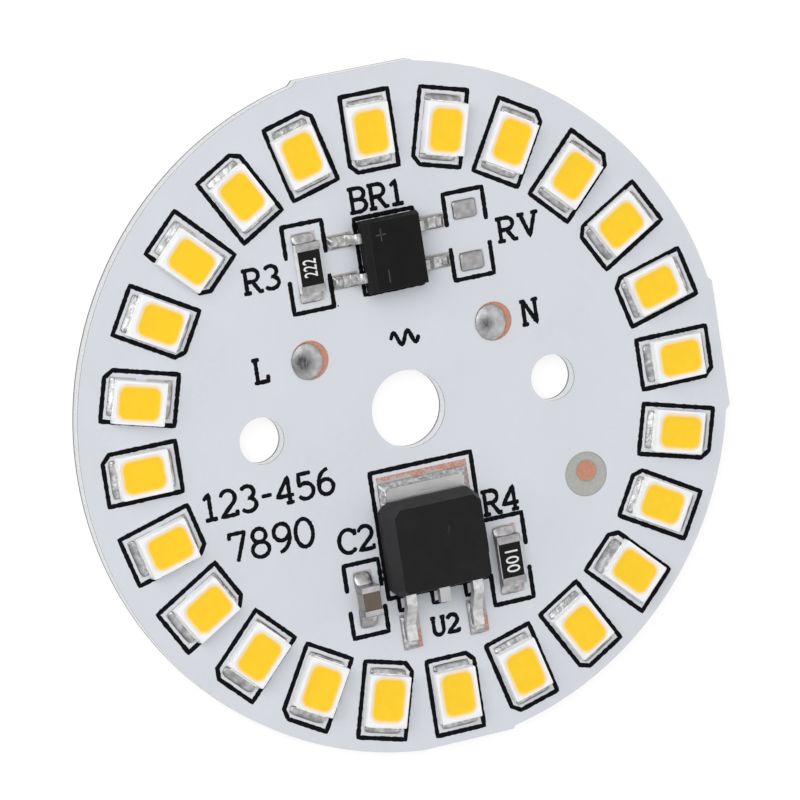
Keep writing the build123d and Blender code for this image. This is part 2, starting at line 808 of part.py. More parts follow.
def build_nodes():
    """Every named node of the board with its solids."""
    nodes = {}
    nets = copper_nets()
    islands = copper_layer(nets)
    nodes["aluminium_base"] = [aluminium_base()]
    nodes["dielectric_layer"] = [dielectric_layer()]
    nodes["copper_tracks"] = islands
    nodes["solder_mask"] = [solder_mask(islands)]
    nodes["printed_outlines"] = printed_outlines()

    housing = led_housing()
    phosphor = led_phosphor()
    plates = led_plates()
    die = led_die()
    package = Pos(0, 0, led_height / 2) * Box(2 * plate_end, led_width, led_height)
    for group in ("led_phosphor", "led_lead_frames", "led_dies", "led_solder"):
        nodes[group] = []
    for index in range(led_count):
        place = led_place(index)
        nodes[f"led_housing_{index + 1:02d}"] = [place * housing]
        nodes["led_phosphor"].append(place * phosphor)
        nodes["led_lead_frames"] += [place * plate for plate in plates]
        nodes["led_dies"].append(place * die)
        nodes["led_solder"] += led_joints(index, place * package)

    place = artwork * Pos(rectifier_x, rectifier_y, seat)
    leads = {}
    for name, side, level in (
        ("plus", -1, 1), ("minus", -1, -1), ("neutral", 1, 1), ("live", 1, -1)
    ):
        leads[name] = place * rectifier_lead(side, level)
        nodes[f"rectifier_lead_{name}"] = [leads[name]]
    nodes["rectifier_body"] = [place * rectifier_case() - list(leads.values())]
    joints = []
    for name, side, level in (
        ("plus", -1, 1), ("minus", -1, -1), ("neutral", 1, 1), ("live", 1, -1)
    ):
        height = joint_thickness + rectifier_joint_height
        joint = mound(rectifier_pad(side, level), height, rectifier_joint_run)
        joints.append(joint - leads[name])
    nodes["rectifier_solder"] = joints

    place = artwork * Pos(driver_x + driver_dx, 0, seat)
    tab = place * driver_heat_tab()
    left_lead = place * driver_lead(-1)
    right_lead = place * driver_lead(1)
    case = place * driver_case()
    nodes["driver_heat_tab"] = [tab]
    nodes["driver_lead_left"] = [left_lead]
    nodes["driver_lead_right"] = [right_lead]
    nodes["driver_body"] = [case - [tab, left_lead, right_lead]]
    height = joint_thickness + driver_joint_height
    nodes["driver_solder"] = [
        mound(driver_tab_pad(), height, driver_joint_run) - tab - case,
        mound(driver_toe_pad(-1), height, driver_joint_run) - left_lead,
        mound(driver_toe_pad(1), height, driver_joint_run) - right_lead,
    ]

    ceramic, coat, terminals = resistor_pieces()
    height = joint_thickness + chip_joint_height
    chip_solder = []
    for name, x, y in (("bleed", bleed_x, bleed_y), ("sense", sense_x, sense_y)):
        place = artwork * Pos(x, y, seat)
        nodes[f"{name}_resistor_ceramic"] = [place * ceramic]
        nodes[f"{name}_resistor_coat"] = [place * coat]
        nodes[f"{name}_resistor_terminals"] = [place * terminal for terminal in terminals]
        envelope = chip_envelope(x, y, resistor_length, resistor_width, resistor_height)
        for pad in resistor_pads(x, y):
            chip_solder.append(mound(pad, height, chip_joint_run) - envelope)

    ceramic, caps = capacitor_pieces()
    place = artwork * Pos(capacitor_x, capacitor_y, seat)
    nodes["capacitor_ceramic"] = [place * ceramic]
    nodes["capacitor_terminals"] = [place * cap for cap in caps]
    envelope = chip_envelope(
        capacitor_x, capacitor_y, capacitor_length, capacitor_width, capacitor_height
    )
    height = joint_thickness + capacitor_joint_height
    for pad in capacitor_pads():
        chip_solder.append(mound(pad, height, chip_joint_run) - envelope)
    nodes["chip_solder"] = chip_solder

    nodes["varistor_pad_solder"] = [
        mound(pad, varistor_tin_height, varistor_tin_run)
        for pad in resistor_pads(varistor_x, varistor_y)
    ]
    nodes["mains_pad_solder"] = [mains_dome(-1), mains_dome(1)]
    return nodes


def write_nodes():
    os.makedirs("parts", exist_ok=True)
    for name, shapes in build_nodes().items():
        solids = [solid for shape in shapes for solid in shape.solids()]
        export_step(Compound(solids), f"parts/{name}.step")


write_nodes()
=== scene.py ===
import json
import math
import random

import bmesh
import bpy
from bpy.props import FloatProperty, FloatVectorProperty, PointerProperty
from mathutils import Matrix, Vector


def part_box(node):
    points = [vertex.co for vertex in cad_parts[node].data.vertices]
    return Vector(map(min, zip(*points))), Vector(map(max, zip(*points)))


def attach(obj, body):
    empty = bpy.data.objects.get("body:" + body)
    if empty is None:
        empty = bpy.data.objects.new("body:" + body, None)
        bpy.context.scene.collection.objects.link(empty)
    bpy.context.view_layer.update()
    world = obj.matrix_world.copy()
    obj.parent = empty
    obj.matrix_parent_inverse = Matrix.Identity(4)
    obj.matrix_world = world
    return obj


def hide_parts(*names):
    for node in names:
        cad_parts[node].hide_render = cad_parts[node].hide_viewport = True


bl_info = {
    "name": "LED board dresser",
    "version": (1, 0, 0),
    "blender": (4, 5, 0),
    "location": "View3D > Sidebar > LED board",
    "description": "Dresses a round mains LED board with its mouldings, joints, print and finishes",
    "category": "Object",
}

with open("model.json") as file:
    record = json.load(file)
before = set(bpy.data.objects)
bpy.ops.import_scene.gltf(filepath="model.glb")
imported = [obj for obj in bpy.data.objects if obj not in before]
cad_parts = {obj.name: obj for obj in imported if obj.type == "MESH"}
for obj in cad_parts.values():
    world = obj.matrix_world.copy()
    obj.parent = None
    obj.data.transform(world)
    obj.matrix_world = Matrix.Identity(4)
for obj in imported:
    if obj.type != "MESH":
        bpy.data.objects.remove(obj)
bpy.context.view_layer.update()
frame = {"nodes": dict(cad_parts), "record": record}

MM = 0.001
MASK_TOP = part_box("solder_mask")[1].z
COPPER_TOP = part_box("copper_tracks")[1].z
LED_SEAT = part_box("led_housing_01")[0].z
LED_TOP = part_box("led_housing_01")[1].z
PLATE_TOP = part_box("led_lead_frames")[1].z
LED_COUNT = 24
CHIP_TERMINALS = ("bleed_resistor_terminals", "sense_resistor_terminals", "capacitor_terminals")
# Slots for the lead frame plates in an LED housing: ends in millimetres, and half the width
PLATE_SLOTS = ((-0.30, 1.80), (-1.80, -0.60))
PLATE_HALF_WIDTH = 1.05 * MM
# How far the solder of the LEDs runs past its pad, and where the printed paste lies off it
FILLET_OVERRUN = 0.01 * MM
PASTE_SLIP = Vector((-0.04 * MM, -0.03 * MM, 0))
# The printed and etched artwork lies a little off the centre of the blank
ARTWORK = Matrix.Translation((0.187 * MM, -0.417 * MM, 0))
MARK_RING = ARTWORK @ Vector((11.09 * MM, -6.20 * MM, 0))
MARK_DOT = ARTWORK @ Vector((11.16 * MM, -5.99 * MM, 0))
# Beyond this radius the bare copper is that of the LED pads
LED_RING_EDGE = 15.4 * MM
# Fields of the copper that solder has reached in its own way, in millimetres
BAND_FOOT = -4.6
DRIVER_FIELD_TOP = 2.5
DRIVER_FIELD_HALF = 4.6
TOE_FIELD_TOP = -12.4
TOE_FIELD_HALF = 3.5
CHIP_FIELD_TOP = -7.6
CHIP_FIELD_FROM = 3.6
UPPER_PADS_FOOT = 6.3


def length(name, text, default_mm):
    return FloatProperty(name=name, description=text, default=default_mm * MM, unit="LENGTH", precision=6)


def angle(name, text, degrees):
    return FloatProperty(name=name, description=text, default=math.radians(degrees), subtype="ANGLE")


def colour(name, text, default):
    return FloatVectorProperty(
        name=name, description=text, default=default, size=3, min=0.0, max=1.0, subtype="COLOR"
    )


class LEDBOARD_PG_sizes(bpy.types.PropertyGroup):
    """Sizes of the pieces that are modelled here."""

    led_length: length("LED length", "Length of an LED housing, in line with the board's radius", 3.40)
    led_width: length("LED width", "Width of an LED housing", 2.80)
    led_draft: angle("LED wall draft", "How far the housing's outer walls lean in", 4.0)
    led_corner: length("LED corner", "Width of the bevel on the housing's upright edges", 0.07)
    cup_length: length("Cup length", "Length of the reflector cup at its rim", 3.04)
    cup_width: length("Cup width", "Width of the reflector cup at its rim", 2.40)
    cup_corner: length("Cup corner", "Width of the round at the cup's corners", 0.63)
    cup_shift: length("Cup shift", "How far the cup lies towards the cathode end", 0.09)
    cup_draft: angle("Cup draft", "Slope of the cup's wall", 20.0)
    cup_lip: length("Cup lip", "Width of the round along the cup's rim", 0.03)
    resin_drop: length("Resin drop", "How far the resin's edge lies below the rim", 0.02)
    resin_dish: length("Resin dish", "How deep the resin is dished", 0.05)
    resin_edge: length("Resin edge", "Width of the thin edge of the resin", 0.42)
    led_pad_end: length("LED pad end", "Outer end of an LED pad from the site's centre", 2.12)
    led_pad_width: length("LED pad width", "Width of an LED pad", 2.45)
    led_ring_radius: length("LED ring radius", "Radius of the ring of LED sites", 18.3)
    frame_length: length("Outline length", "Length of the printed outline of an LED", 4.90)
    frame_width: length("Outline width", "Width of the printed outline of an LED", 3.24)
    frame_clip: length("Outline clip", "Clipped corner of the printed outline", 0.50)
    ink_width: length("Ink width", "Width of a printed line", 0.31)
    ink_height: length("Ink height", "Thickness of the printed ink", 0.015)
    ink_ragged: FloatProperty(
        name="Ink raggedness", description="Share by which a printed line's width varies", default=0.17
    )
    letter_pen: length("Letter line", "Width of the lines of the printed letters", 0.285)
    solder_grain: length("Solder cell", "Cell size of the reshaped solder", 0.035)
    solder_creep: length("Solder creep", "How far the reshaped solder has crept over its pad", 0.05)
    dome_half_width: length("Dome half width", "Half the width of the tin on a mains pad", 1.06)
    dome_half_length: length("Dome half length", "Half the length of the tin on a mains pad", 1.17)
    dome_height: length("Dome height", "Height of the tin on a mains pad", 0.34)
    dome_shift: length("Dome shift", "How far that tin lies to the left of its pad", 0.15)
    bare_band: length("Bare band", "Bare copper left above the driver's tab", 0.32)
    toe_draw: length("Toe draw", "How far a toe joint is drawn in at its lower right corner", 0.24)
    tin_overrun: length("Tin overrun", "How far the tin of a bare pad swells past its solid", 0.09)
    moulding_edge: length("Moulding edge", "Round on the edges of the black mouldings", 0.05)


class LEDBOARD_PG_colours(bpy.types.PropertyGroup):
    """Colours of the finishes."""

    mask: colour("Solder mask", "White solder mask", (0.650, 0.674, 0.718))
    dielectric: colour("Dielectric", "Filled epoxy film", (0.405, 0.410, 0.382))
    copper: colour("Copper", "Bare etched copper", (0.50, 0.225, 0.150))
    wetted: colour("Wetted copper", "Copper that a film of solder has run over", (0.52, 0.48, 0.475))
    core: colour("Core", "Rolled aluminium", (0.76, 0.77, 0.78))
    ink: colour("Ink", "Printed black ink", (0.0030, 0.0030, 0.0042))
    housing: colour("LED housing", "White moulded housing", (0.90, 0.905, 0.915))
    phosphor: colour("Phosphor", "Resin with phosphor", (1.0, 0.622, 0.012))
    resin_rim: colour("Resin rim", "Thin edge of the resin over the cup wall", (0.90, 0.84, 0.82))
    silver: colour("Silver plate", "Silver plated lead frame", (0.86, 0.85, 0.82))
    die: colour("Die", "Sapphire die", (0.55, 0.62, 0.75))
    driver: colour("Driver moulding", "Black moulded epoxy of the driver", (0.0115, 0.0115, 0.0120))
    rectifier: colour("Rectifier moulding", "Black moulded epoxy of the rectifier", (0.0055, 0.0055, 0.0053))
    # Painted highlight: the rounded edges of the black mouldings take this lighter colour, as if they caught
    # the light
    edge: colour("Moulded edge", "Edge of a black moulding in the light", (0.018, 0.018, 0.019))
    tin: colour("Tin", "Matt tin plating", (0.50, 0.50, 0.50))
    solder: colour("Solder", "Reflowed solder", (0.50, 0.50, 0.51))
    bright_solder: colour("Bright solder", "Smooth solder of the chips", (0.49, 0.48, 0.49))
    terminal: colour("Chip terminal", "Tinned end of a chip", (0.335, 0.328, 0.335))
    alumina: colour("Alumina", "White fired ceramic", (0.80, 0.80, 0.79))
    capacitor: colour("Capacitor", "Brown fired ceramic", (0.118, 0.090, 0.070))
    glaze: colour("Glaze", "Black coat of a chip resistor", (0.0060, 0.0058, 0.0068))
    code: colour("Code", "Light print on the chips", (0.82, 0.82, 0.82))
    faint_mark: colour("Faint mark", "Faint mark on a black moulding", (0.025, 0.0245, 0.024))


class LEDBOARD_PG_stage(bpy.types.PropertyGroup):
    """Camera, lights and floor."""

    lens: FloatProperty(name="Lens", description="Focal length in millimetres", default=274.78)
    camera_place: FloatVectorProperty(
        name="Camera place", description="Where the camera stands", subtype="TRANSLATION", unit="LENGTH",
        default=(-0.12968, 0.06766, 0.35880), precision=5
    )
    camera_right: FloatVectorProperty(
        name="Camera right", description="Direction to the right of the picture", subtype="DIRECTION",
        default=(0.9207128, -0.1493681, 0.3605234)
    )
    camera_up: FloatVectorProperty(
        name="Camera up", description="Direction to the top of the picture", subtype="DIRECTION",
        default=(0.2008916, 0.9734481, -0.1097332)
    )
    key_power: FloatProperty(name="Key light", description="Power of the key light in watts", default=2.85)
    fill_power: FloatProperty(name="Fill light", description="Power of the fill light in watts", default=0.7)
    side_power: FloatProperty(name="Side light", description="Power of the low light in watts", default=0.8)
    sky: FloatProperty(name="Sky", description="Strength of the light from all round", default=0.51)


# Selecting and editing, as by hand

def only(piece):
    bpy.ops.object.select_all(action="DESELECT")
    piece.select_set(True)
    bpy.context.view_layer.objects.active = piece


def add_block(name, low, high):
    """A cube added at its size and place, with both kept in its mesh."""
    bpy.ops.object.select_all(action="DESELECT")
    low = Vector(low)
    high = Vector(high)
    bpy.ops.mesh.primitive_cube_add(size=1, location=(low + high) / 2, scale=high - low)
    bpy.ops.object.transform_apply(location=True, rotation=True, scale=True)
    piece = bpy.context.object
    piece.name = name
    piece.data.name = name
    return piece


def start_editing(piece, kind):
    only(piece)
    bpy.ops.object.mode_set(mode="EDIT")
    bpy.ops.mesh.select_mode(type=kind)
    bpy.ops.mesh.select_all(action="DESELECT")


def stop_editing():
    bpy.ops.object.mode_set(mode="OBJECT")


def pick(piece, kind, wanted):
    """Selects the faces, edges or vertices for which a test holds."""
    mesh = bmesh.from_edit_mesh(piece.data)
    for part in getattr(mesh, kind):
        part.select_set(wanted(part))
    if kind == "verts":
        mesh.select_flush_mode()
    bmesh.update_edit_mesh(piece.data)


def faces_up(face):
    return face.normal.z > 0.9


def faces_down(face):
    return face.normal.z < -0.9


def stands(edge):
    """True for an edge that runs from bottom to top."""
    first, second = edge.verts
    return abs(first.co.z - second.co.z) > 0.5 * edge.calc_length()


def scale_end(piece, wanted, share_x, share_y, centre):
    """Scales the picked end faces about a centre."""
    start_editing(piece, "FACE")
    pick(piece, "faces", wanted)
    bpy.ops.transform.resize(value=(share_x, share_y, 1), center_override=centre)
    stop_editing()


def round_upright_edges(piece, width, segments):
    start_editing(piece, "EDGE")
    pick(piece, "edges", stands)
    bpy.ops.mesh.bevel(offset=width, offset_type="OFFSET", segments=segments, profile=0.5, affect="EDGES")
    stop_editing()


def drag(piece, wanted, shift):
    """Moves the vertices for which a test holds, while the piece is edited."""
    bpy.ops.mesh.select_mode(type="VERT")
    pick(piece, "verts", wanted)
    bpy.ops.transform.translate(value=shift)


def swell_top(piece, half_width, height, steps):
    """Raises or sinks the top face in rings, each with its share of the half width and of the height."""
    start_editing(piece, "FACE")
    pick(piece, "faces", faces_up)
    for width, rise in steps:
        bpy.ops.mesh.inset(thickness=width * half_width, depth=rise * height)
    stop_editing()


def apply_modifier(piece, kind, **settings):
    only(piece)
    modifier = piece.modifiers.new(kind.lower(), kind)
    for name, value in settings.items():
        setattr(modifier, name, value)
    bpy.ops.object.modifier_apply(modifier=modifier.name)


def cut(piece, tool):
    """Cuts one piece out of another, and uses the tool up."""
    apply_modifier(piece, "BOOLEAN", operation="DIFFERENCE", solver="EXACT", object=tool)
    bpy.data.objects.remove(tool)


def ripple(piece, size_mm, depth_mm):
    """Gives cast or reflowed metal its soft unevenness."""
    cloud = bpy.data.textures.new(piece.name + "_cloud", "CLOUDS")
    cloud.noise_scale = size_mm * MM
    apply_modifier(
        piece, "DISPLACE", texture=cloud, strength=depth_mm * MM, mid_level=0.5, texture_coords="LOCAL"
    )


def smooth(piece):
    only(piece)
    bpy.ops.object.shade_smooth()


def smooth_by_angle(piece, degrees):
    only(piece)
    bpy.ops.object.shade_smooth_by_angle(angle=math.radians(degrees))


def copy_to(template, name, place):
    """A copy with its own mesh, whose place is in that mesh."""
    piece = template.copy()
    piece.data = template.data.copy()
    piece.name = name
    piece.data.name = name
    bpy.context.collection.objects.link(piece)
    piece.data.transform(place)
    return piece


def copy_node(name, node):
    """A copy of a CAD node with its doubles merged, left open for editing."""
    piece = bpy.data.objects.new(name, frame["nodes"][node].data.copy())
    bpy.context.collection.objects.link(piece)
    start_editing(piece, "VERT")
    bpy.ops.mesh.select_all(action="SELECT")
    bpy.ops.mesh.remove_doubles(threshold=1e-6)
    return piece


def join(name, pieces):
    bpy.ops.object.select_all(action="DESELECT")
    for piece in pieces:
        piece.select_set(True)
    bpy.context.view_layer.objects.active = pieces[0]
    bpy.ops.object.join()
    joined = bpy.context.object
    joined.name = name
    joined.data.name = name
    return joined


def finish_piece(piece, material, slot, *nodes):
    """Gives a finished piece its material and its body, and hides the CAD nodes it stands for. The slot is
    not used.
    """
    piece.data.materials.clear()
    piece.data.materials.append(MATERIALS[material])
    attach(piece, "root")
    if nodes:
        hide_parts(*nodes)


# Materials: patterns are measured in millimetres on the object's own coordinates

def shade(base, share):
    return tuple(min(1.0, value * share) for value in base)


class Finish:
    """A node material, built up step by step."""

    def __init__(self, name, base, roughness, metallic=0.0):
        self.material = bpy.data.materials.new(name)
        self.material.use_nodes = True
        self.tree = self.material.node_tree
        self.tree.nodes.clear()
        output = self.add("ShaderNodeOutputMaterial")
        self.shader = self.add("ShaderNodeBsdfPrincipled")
        self.shader.inputs["Base Color"].default_value = (*base, 1)
        self.shader.inputs["Roughness"].default_value = roughness
        self.shader.inputs["Metallic"].default_value = metallic
        self.link(self.shader.outputs["BSDF"], output.inputs["Surface"])
        where = self.add("ShaderNodeTexCoord")
        scaled = self.add("ShaderNodeMapping")
        scaled.inputs["Scale"].default_value = (1 / MM, 1 / MM, 1 / MM)
        self.link(where.outputs["Object"], scaled.inputs["Vector"])
        self.place = scaled.outputs["Vector"]

    def add(self, kind):
        return self.tree.nodes.new(kind)

    def link(self, output, socket):
        self.tree.links.new(output, socket)

    def stretched(self, x, y, z):
        mapping = self.add("ShaderNodeMapping")
        mapping.inputs["Scale"].default_value = (x, y, z)
        self.link(self.place, mapping.inputs["Vector"])
        return mapping.outputs["Vector"]

    def noise(self, size_mm, detail=2.0, place=None):
        texture = self.add("ShaderNodeTexNoise")
        texture.inputs["Scale"].default_value = 1 / size_mm
        texture.inputs["Detail"].default_value = detail
        self.link(place or self.place, texture.inputs["Vector"])
        return texture.outputs["Fac"]

    def span(self, value, low, high, to_low=0.0, to_high=1.0):
        """Maps a value from one span to another and holds it inside."""
        mapped = self.add("ShaderNodeMapRange")
        self.link(value, mapped.inputs["Value"])
        mapped.inputs["From Min"].default_value = low
        mapped.inputs["From Max"].default_value = high
        mapped.inputs["To Min"].default_value = to_low
        mapped.inputs["To Max"].default_value = to_high
        return mapped.outputs["Result"]

    def above(self, value, edge, fade=0.1):
        """1 where a value has passed an edge, 0 below the edge."""
        return self.span(value, edge, edge + fade)

    def below(self, value, edge, fade=0.1):
        """1 where a value lies well under an edge, 0 above the edge."""
        return self.span(value, edge, edge - fade)

    def cloud(self, size_mm, detail, low, high, to_low=0.0, to_high=1.0):
        """Noise cut to a span, for patches with clear edges."""
        return self.span(self.noise(size_mm, detail), low, high, to_low, to_high)

    def axes(self):
        """Object place in millimetres, one value for each axis."""
        parts = self.add("ShaderNodeSeparateXYZ")
        self.link(self.place, parts.inputs["Vector"])
        return parts.outputs

    def height(self):
        """Height over the underside of the board, in millimetres."""
        return self.axes()["Z"]

    def work_out(self, operation, *values):
        node = self.add("ShaderNodeMath")
        node.operation = operation
        for socket, value in zip(node.inputs, values):
            self.link(value, socket)
        return node.outputs[0]

    def least(self, first, second):
        return self.work_out("MINIMUM", first, second)

    def most(self, first, second):
        return self.work_out("MAXIMUM", first, second)

    def size_of(self, value):
        return self.work_out("ABSOLUTE", value)

    def mix(self, factor, first, second):
        """Colour between two, each a colour or the output of another mix."""
        node = self.add("ShaderNodeMix")
        node.data_type = "RGBA"
        self.link(factor, node.inputs[0])
        for socket, value in ((node.inputs[6], first), (node.inputs[7], second)):
            if isinstance(value, bpy.types.NodeSocket):
                self.link(value, socket)
            else:
                socket.default_value = (*value, 1)
        return node.outputs[2]

    def tones(self, factor, base, low, high=1.0):
        """Colour between two shares of one base."""
        return self.mix(factor, shade(base, low), shade(base, high))

    def mute(self, level):
        """Lowers the plain reflection of a dull surface."""
        self.shader.inputs["Specular IOR Level"].default_value = level

    def upright(self):
        """1 on faces that stand up, 0 on level ones."""
        normal = self.add("ShaderNodeNewGeometry").outputs["Normal"]
        parts = self.add("ShaderNodeSeparateXYZ")
        self.link(normal, parts.inputs["Vector"])
        return self.below(self.size_of(parts.outputs["Z"]), 0.97, 0.07)

    def outside(self, radius_mm, centre=(0, 0, 0), fade_mm=0.1):
        """1 beyond a radius from an upright axis, 0 within it."""
        flat = self.add("ShaderNodeVectorMath")
        flat.operation = "MULTIPLY_ADD"
        flat.inputs[1].default_value = (1, 1, 0)
        flat.inputs[2].default_value = (-centre[0] / MM, -centre[1] / MM, 0)
        self.link(self.place, flat.inputs[0])
        reach = self.add("ShaderNodeVectorMath")
        reach.operation = "LENGTH"
        self.link(flat.outputs["Vector"], reach.inputs[0])
        return self.above(reach.outputs["Value"], radius_mm, fade_mm)

    def paint(self, socket):
        self.link(socket, self.shader.inputs["Base Color"])

    def roughen(self, value, low, high):
        """Lets the roughness wander with a value."""
        self.link(self.span(value, 0.3, 0.7, low, high), self.shader.inputs["Roughness"])

    def emboss(self, value, depth_mm):
        """Raises a relief, which has a depth but moves no face."""
        relief = self.add("ShaderNodeBump")
        relief.inputs["Distance"].default_value = depth_mm * MM
        relief.inputs["Strength"].default_value = 1.0
        self.link(value, relief.inputs["Height"])
        self.link(relief.outputs["Normal"], self.shader.inputs["Normal"])


def mask_finish(colours):
    finish = Finish("solder_mask_white", colours.mask, 0.36)
    wide = finish.tones(finish.cloud(5.0, 3.0, 0.35, 0.65), colours.mask, 0.965, 1.02)
    finish.paint(finish.mix(finish.cloud(0.35, 3.0, 0.35, 0.7), wide, colours.mask))
    finish.roughen(finish.noise(1.2), 0.30, 0.44)
    finish.emboss(finish.noise(0.22), 0.004)
    return finish.material


def dielectric_finish(colours):
    """Epoxy film, with painted shade at the mask's edge round the camera mark and a painted shadow round its
    dot.
    """
    base = colours.dielectric
    finish = Finish("dielectric_film", base, 0.62)
    top = finish.tones(finish.cloud(0.16, 3.0, 0.35, 0.7), base, 0.92, 1.06)
    # Painted shade: a dark ring where the mask's wall meets the film
    top = finish.mix(finish.outside(1.38, MARK_RING, 0.08), top, shade(base, 0.62))
    # Painted shadow round the copper dot
    top = finish.mix(finish.outside(0.64, MARK_DOT, 0.14), shade(base, 0.70), top)
    finish.paint(finish.mix(finish.upright(), top, shade(base, 0.32)))
    finish.emboss(finish.noise(0.06), 0.006)
    return finish.material


def crept_film(finish, x, y):
    """Where solder has crept up the bare band above the driver's tab, with an uneven edge."""
    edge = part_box("driver_solder")[1].y / MM - 0.32
    swell = finish.cloud(0.8, 2.0, 0.3, 0.7, 0.0, 0.34)
    lean = finish.span(x, -3.2, 3.2, 0.12, -0.14)
    reach = finish.work_out("SUBTRACT", finish.work_out("SUBTRACT", y, swell), lean)
    return finish.least(finish.below(reach, edge, 0.07), finish.above(y, BAND_FOOT))


def toe_corners(finish, x, y):
    """Where copper shows to the right of the driver's toes, below their bends."""
    left_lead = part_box("driver_lead_left")[1].x / MM - 0.02
    right_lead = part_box("driver_lead_right")[1].x / MM - 0.02
    toe_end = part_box("driver_solder")[0].y / MM
    by_left_lead = finish.least(finish.above(x, left_lead, 0.04), finish.below(x, 0.1))
    by_lead = finish.most(by_left_lead, finish.above(x, right_lead, 0.04))
    return finish.least(by_lead, finish.below(y, toe_end + 1.25, 0.2))


def copper_finish(colours):
    """Bare copper, dotted with solder above the driver and wetted all over on the other pads."""
    finish = Finish("bare_copper", colours.copper, 0.48, 0.30)
    axes = finish.axes()
    x, y = axes["X"], axes["Y"]
    aside = finish.size_of(x)
    film = shade(colours.wetted, 0.86)
    speckle = finish.cloud(0.13, 4.0, 0.36, 0.60)
    bare = finish.tones(speckle, colours.copper, 0.87, 1.05)
    spots = finish.cloud(0.45, 2.0, 0.58, 0.66)
    tinned = finish.mix(spots, colours.wetted, finish.mix(speckle, colours.wetted, bare))
    dotted = finish.mix(finish.cloud(0.12, 3.0, 0.50, 0.64), bare, shade(colours.wetted, 0.9))
    under_driver = finish.below(y, DRIVER_FIELD_TOP, 0.2)
    by_driver = finish.least(under_driver, finish.below(aside, DRIVER_FIELD_HALF, 0.2))
    bare = finish.mix(by_driver, bare, dotted)
    bare = finish.mix(crept_film(finish, x, y), bare, film)
    toes = finish.least(finish.below(y, TOE_FIELD_TOP), finish.below(aside, TOE_FIELD_HALF))
    bare = finish.mix(toes, bare, finish.mix(toe_corners(finish, x, y), film, bare))
    beside_driver = finish.above(aside, CHIP_FIELD_FROM, 0.2)
    chip_pads = finish.least(finish.below(y, CHIP_FIELD_TOP, 0.3), beside_driver)
    inner_pads = finish.most(finish.above(y, UPPER_PADS_FOOT, 0.2), chip_pads)
    wetted = finish.most(inner_pads, finish.outside(LED_RING_EDGE / MM))
    finish.paint(finish.mix(wetted, bare, tinned))
    finish.roughen(finish.noise(0.2), 0.38, 0.60)
    finish.emboss(finish.noise(0.07, 3.0), 0.008)
    return finish.material


def core_finish(colours):
    """Rolled aluminium with fine lines, and a dark foot on its punched edges: their tear zone, darkened
    further with painted shade where the edges meet the floor.
    """
    finish = Finish("rolled_aluminium", colours.core, 0.42, 1.0)
    lines = finish.noise(0.5, 4.0, finish.stretched(0.03, 6.0, 1.5))
    rolled = finish.tones(finish.span(lines, 0.35, 0.65), colours.core, 0.84)
    # Painted shade with the tear zone: the lowest part of the edge's walls is painted dark
    torn_and_shaded_foot = finish.work_out("MULTIPLY", finish.below(finish.height(), 0.26, 0.12), finish.upright())
    finish.paint(finish.mix(torn_and_shaded_foot, rolled, shade(colours.core, 0.22)))
    finish.roughen(lines, 0.34, 0.52)
    finish.emboss(lines, 0.006)
    return finish.material


def ink_finish(colours):
    finish = Finish("printed_ink", colours.ink, 0.6)
    finish.mute(0.05)
    finish.paint(finish.tones(finish.cloud(0.12, 3.0, 0.4, 0.8), colours.ink, 1.0, 2.2))
    finish.emboss(finish.noise(0.08), 0.005)
    return finish.material


def housing_finish(colours):
    finish = Finish("led_housing_white", colours.housing, 0.34)
    finish.paint(finish.tones(finish.cloud(0.6, 2.0, 0.35, 0.65), colours.housing, 0.97))
    finish.roughen(finish.noise(0.4), 0.28, 0.42)
    finish.emboss(finish.noise(0.1), 0.003)
    return finish.material


def phosphor_finish(colours, sizes):
    """Yellow resin that thins out to a pale edge where it climbs the cup's wall."""
    finish = Finish("phosphor_resin", colours.phosphor, 0.30)
    finish.mute(0.30)
    rim = (LED_TOP - sizes.resin_drop) / MM
    edge = finish.span(finish.height(), rim - 0.66 * sizes.resin_dish / MM, rim)
    body = finish.tones(finish.cloud(0.7, 2.0, 0.35, 0.65), colours.phosphor, 1.0, 0.965)
    finish.paint(finish.mix(edge, body, colours.resin_rim))
    finish.emboss(finish.noise(0.12), 0.002)
    return finish.material


def metal_finish(name, base, low, high, cell_mm, depth_mm, dark=0.8, foot=1.0):
    """Tin or solder: clouded in tone and gloss, with a soft relief, and painted shade at its foot on the
    copper, for the dark that its steep foot reflects.
    """
    finish = Finish(name, base, (low + high) / 2, 1.0)
    clouded = finish.tones(finish.cloud(cell_mm, 1.0, 0.36, 0.66), base, dark)
    # Painted shade: where foot is under 1, the metal is darker near the copper
    if foot < 1:
        rise = finish.above(finish.height(), COPPER_TOP / MM + 0.02)
        clouded = finish.mix(rise, shade(base, foot), clouded)
    finish.paint(clouded)
    finish.roughen(finish.noise(cell_mm * 1.7), low, high)
    finish.emboss(finish.noise(cell_mm * 0.6), depth_mm)
    return finish.material


def tab_finish(colours):
    """Tin of the driver's tab, with fine lines along its edge."""
    base = shade(colours.tin, 0.85)
    finish = Finish("tab_tin", base, 0.4, 1.0)
    lines = finish.noise(0.25, 3.0, finish.stretched(0.25, 3.0, 1.0))
    cloud = finish.cloud(1.2, 2.0, 0.35, 0.65)
    finish.paint(finish.mix(cloud, shade(base, 0.90), finish.tones(lines, base, 0.90, 1.08)))
    finish.roughen(lines, 0.34, 0.48)
    finish.emboss(lines, 0.010)
    return finish.material


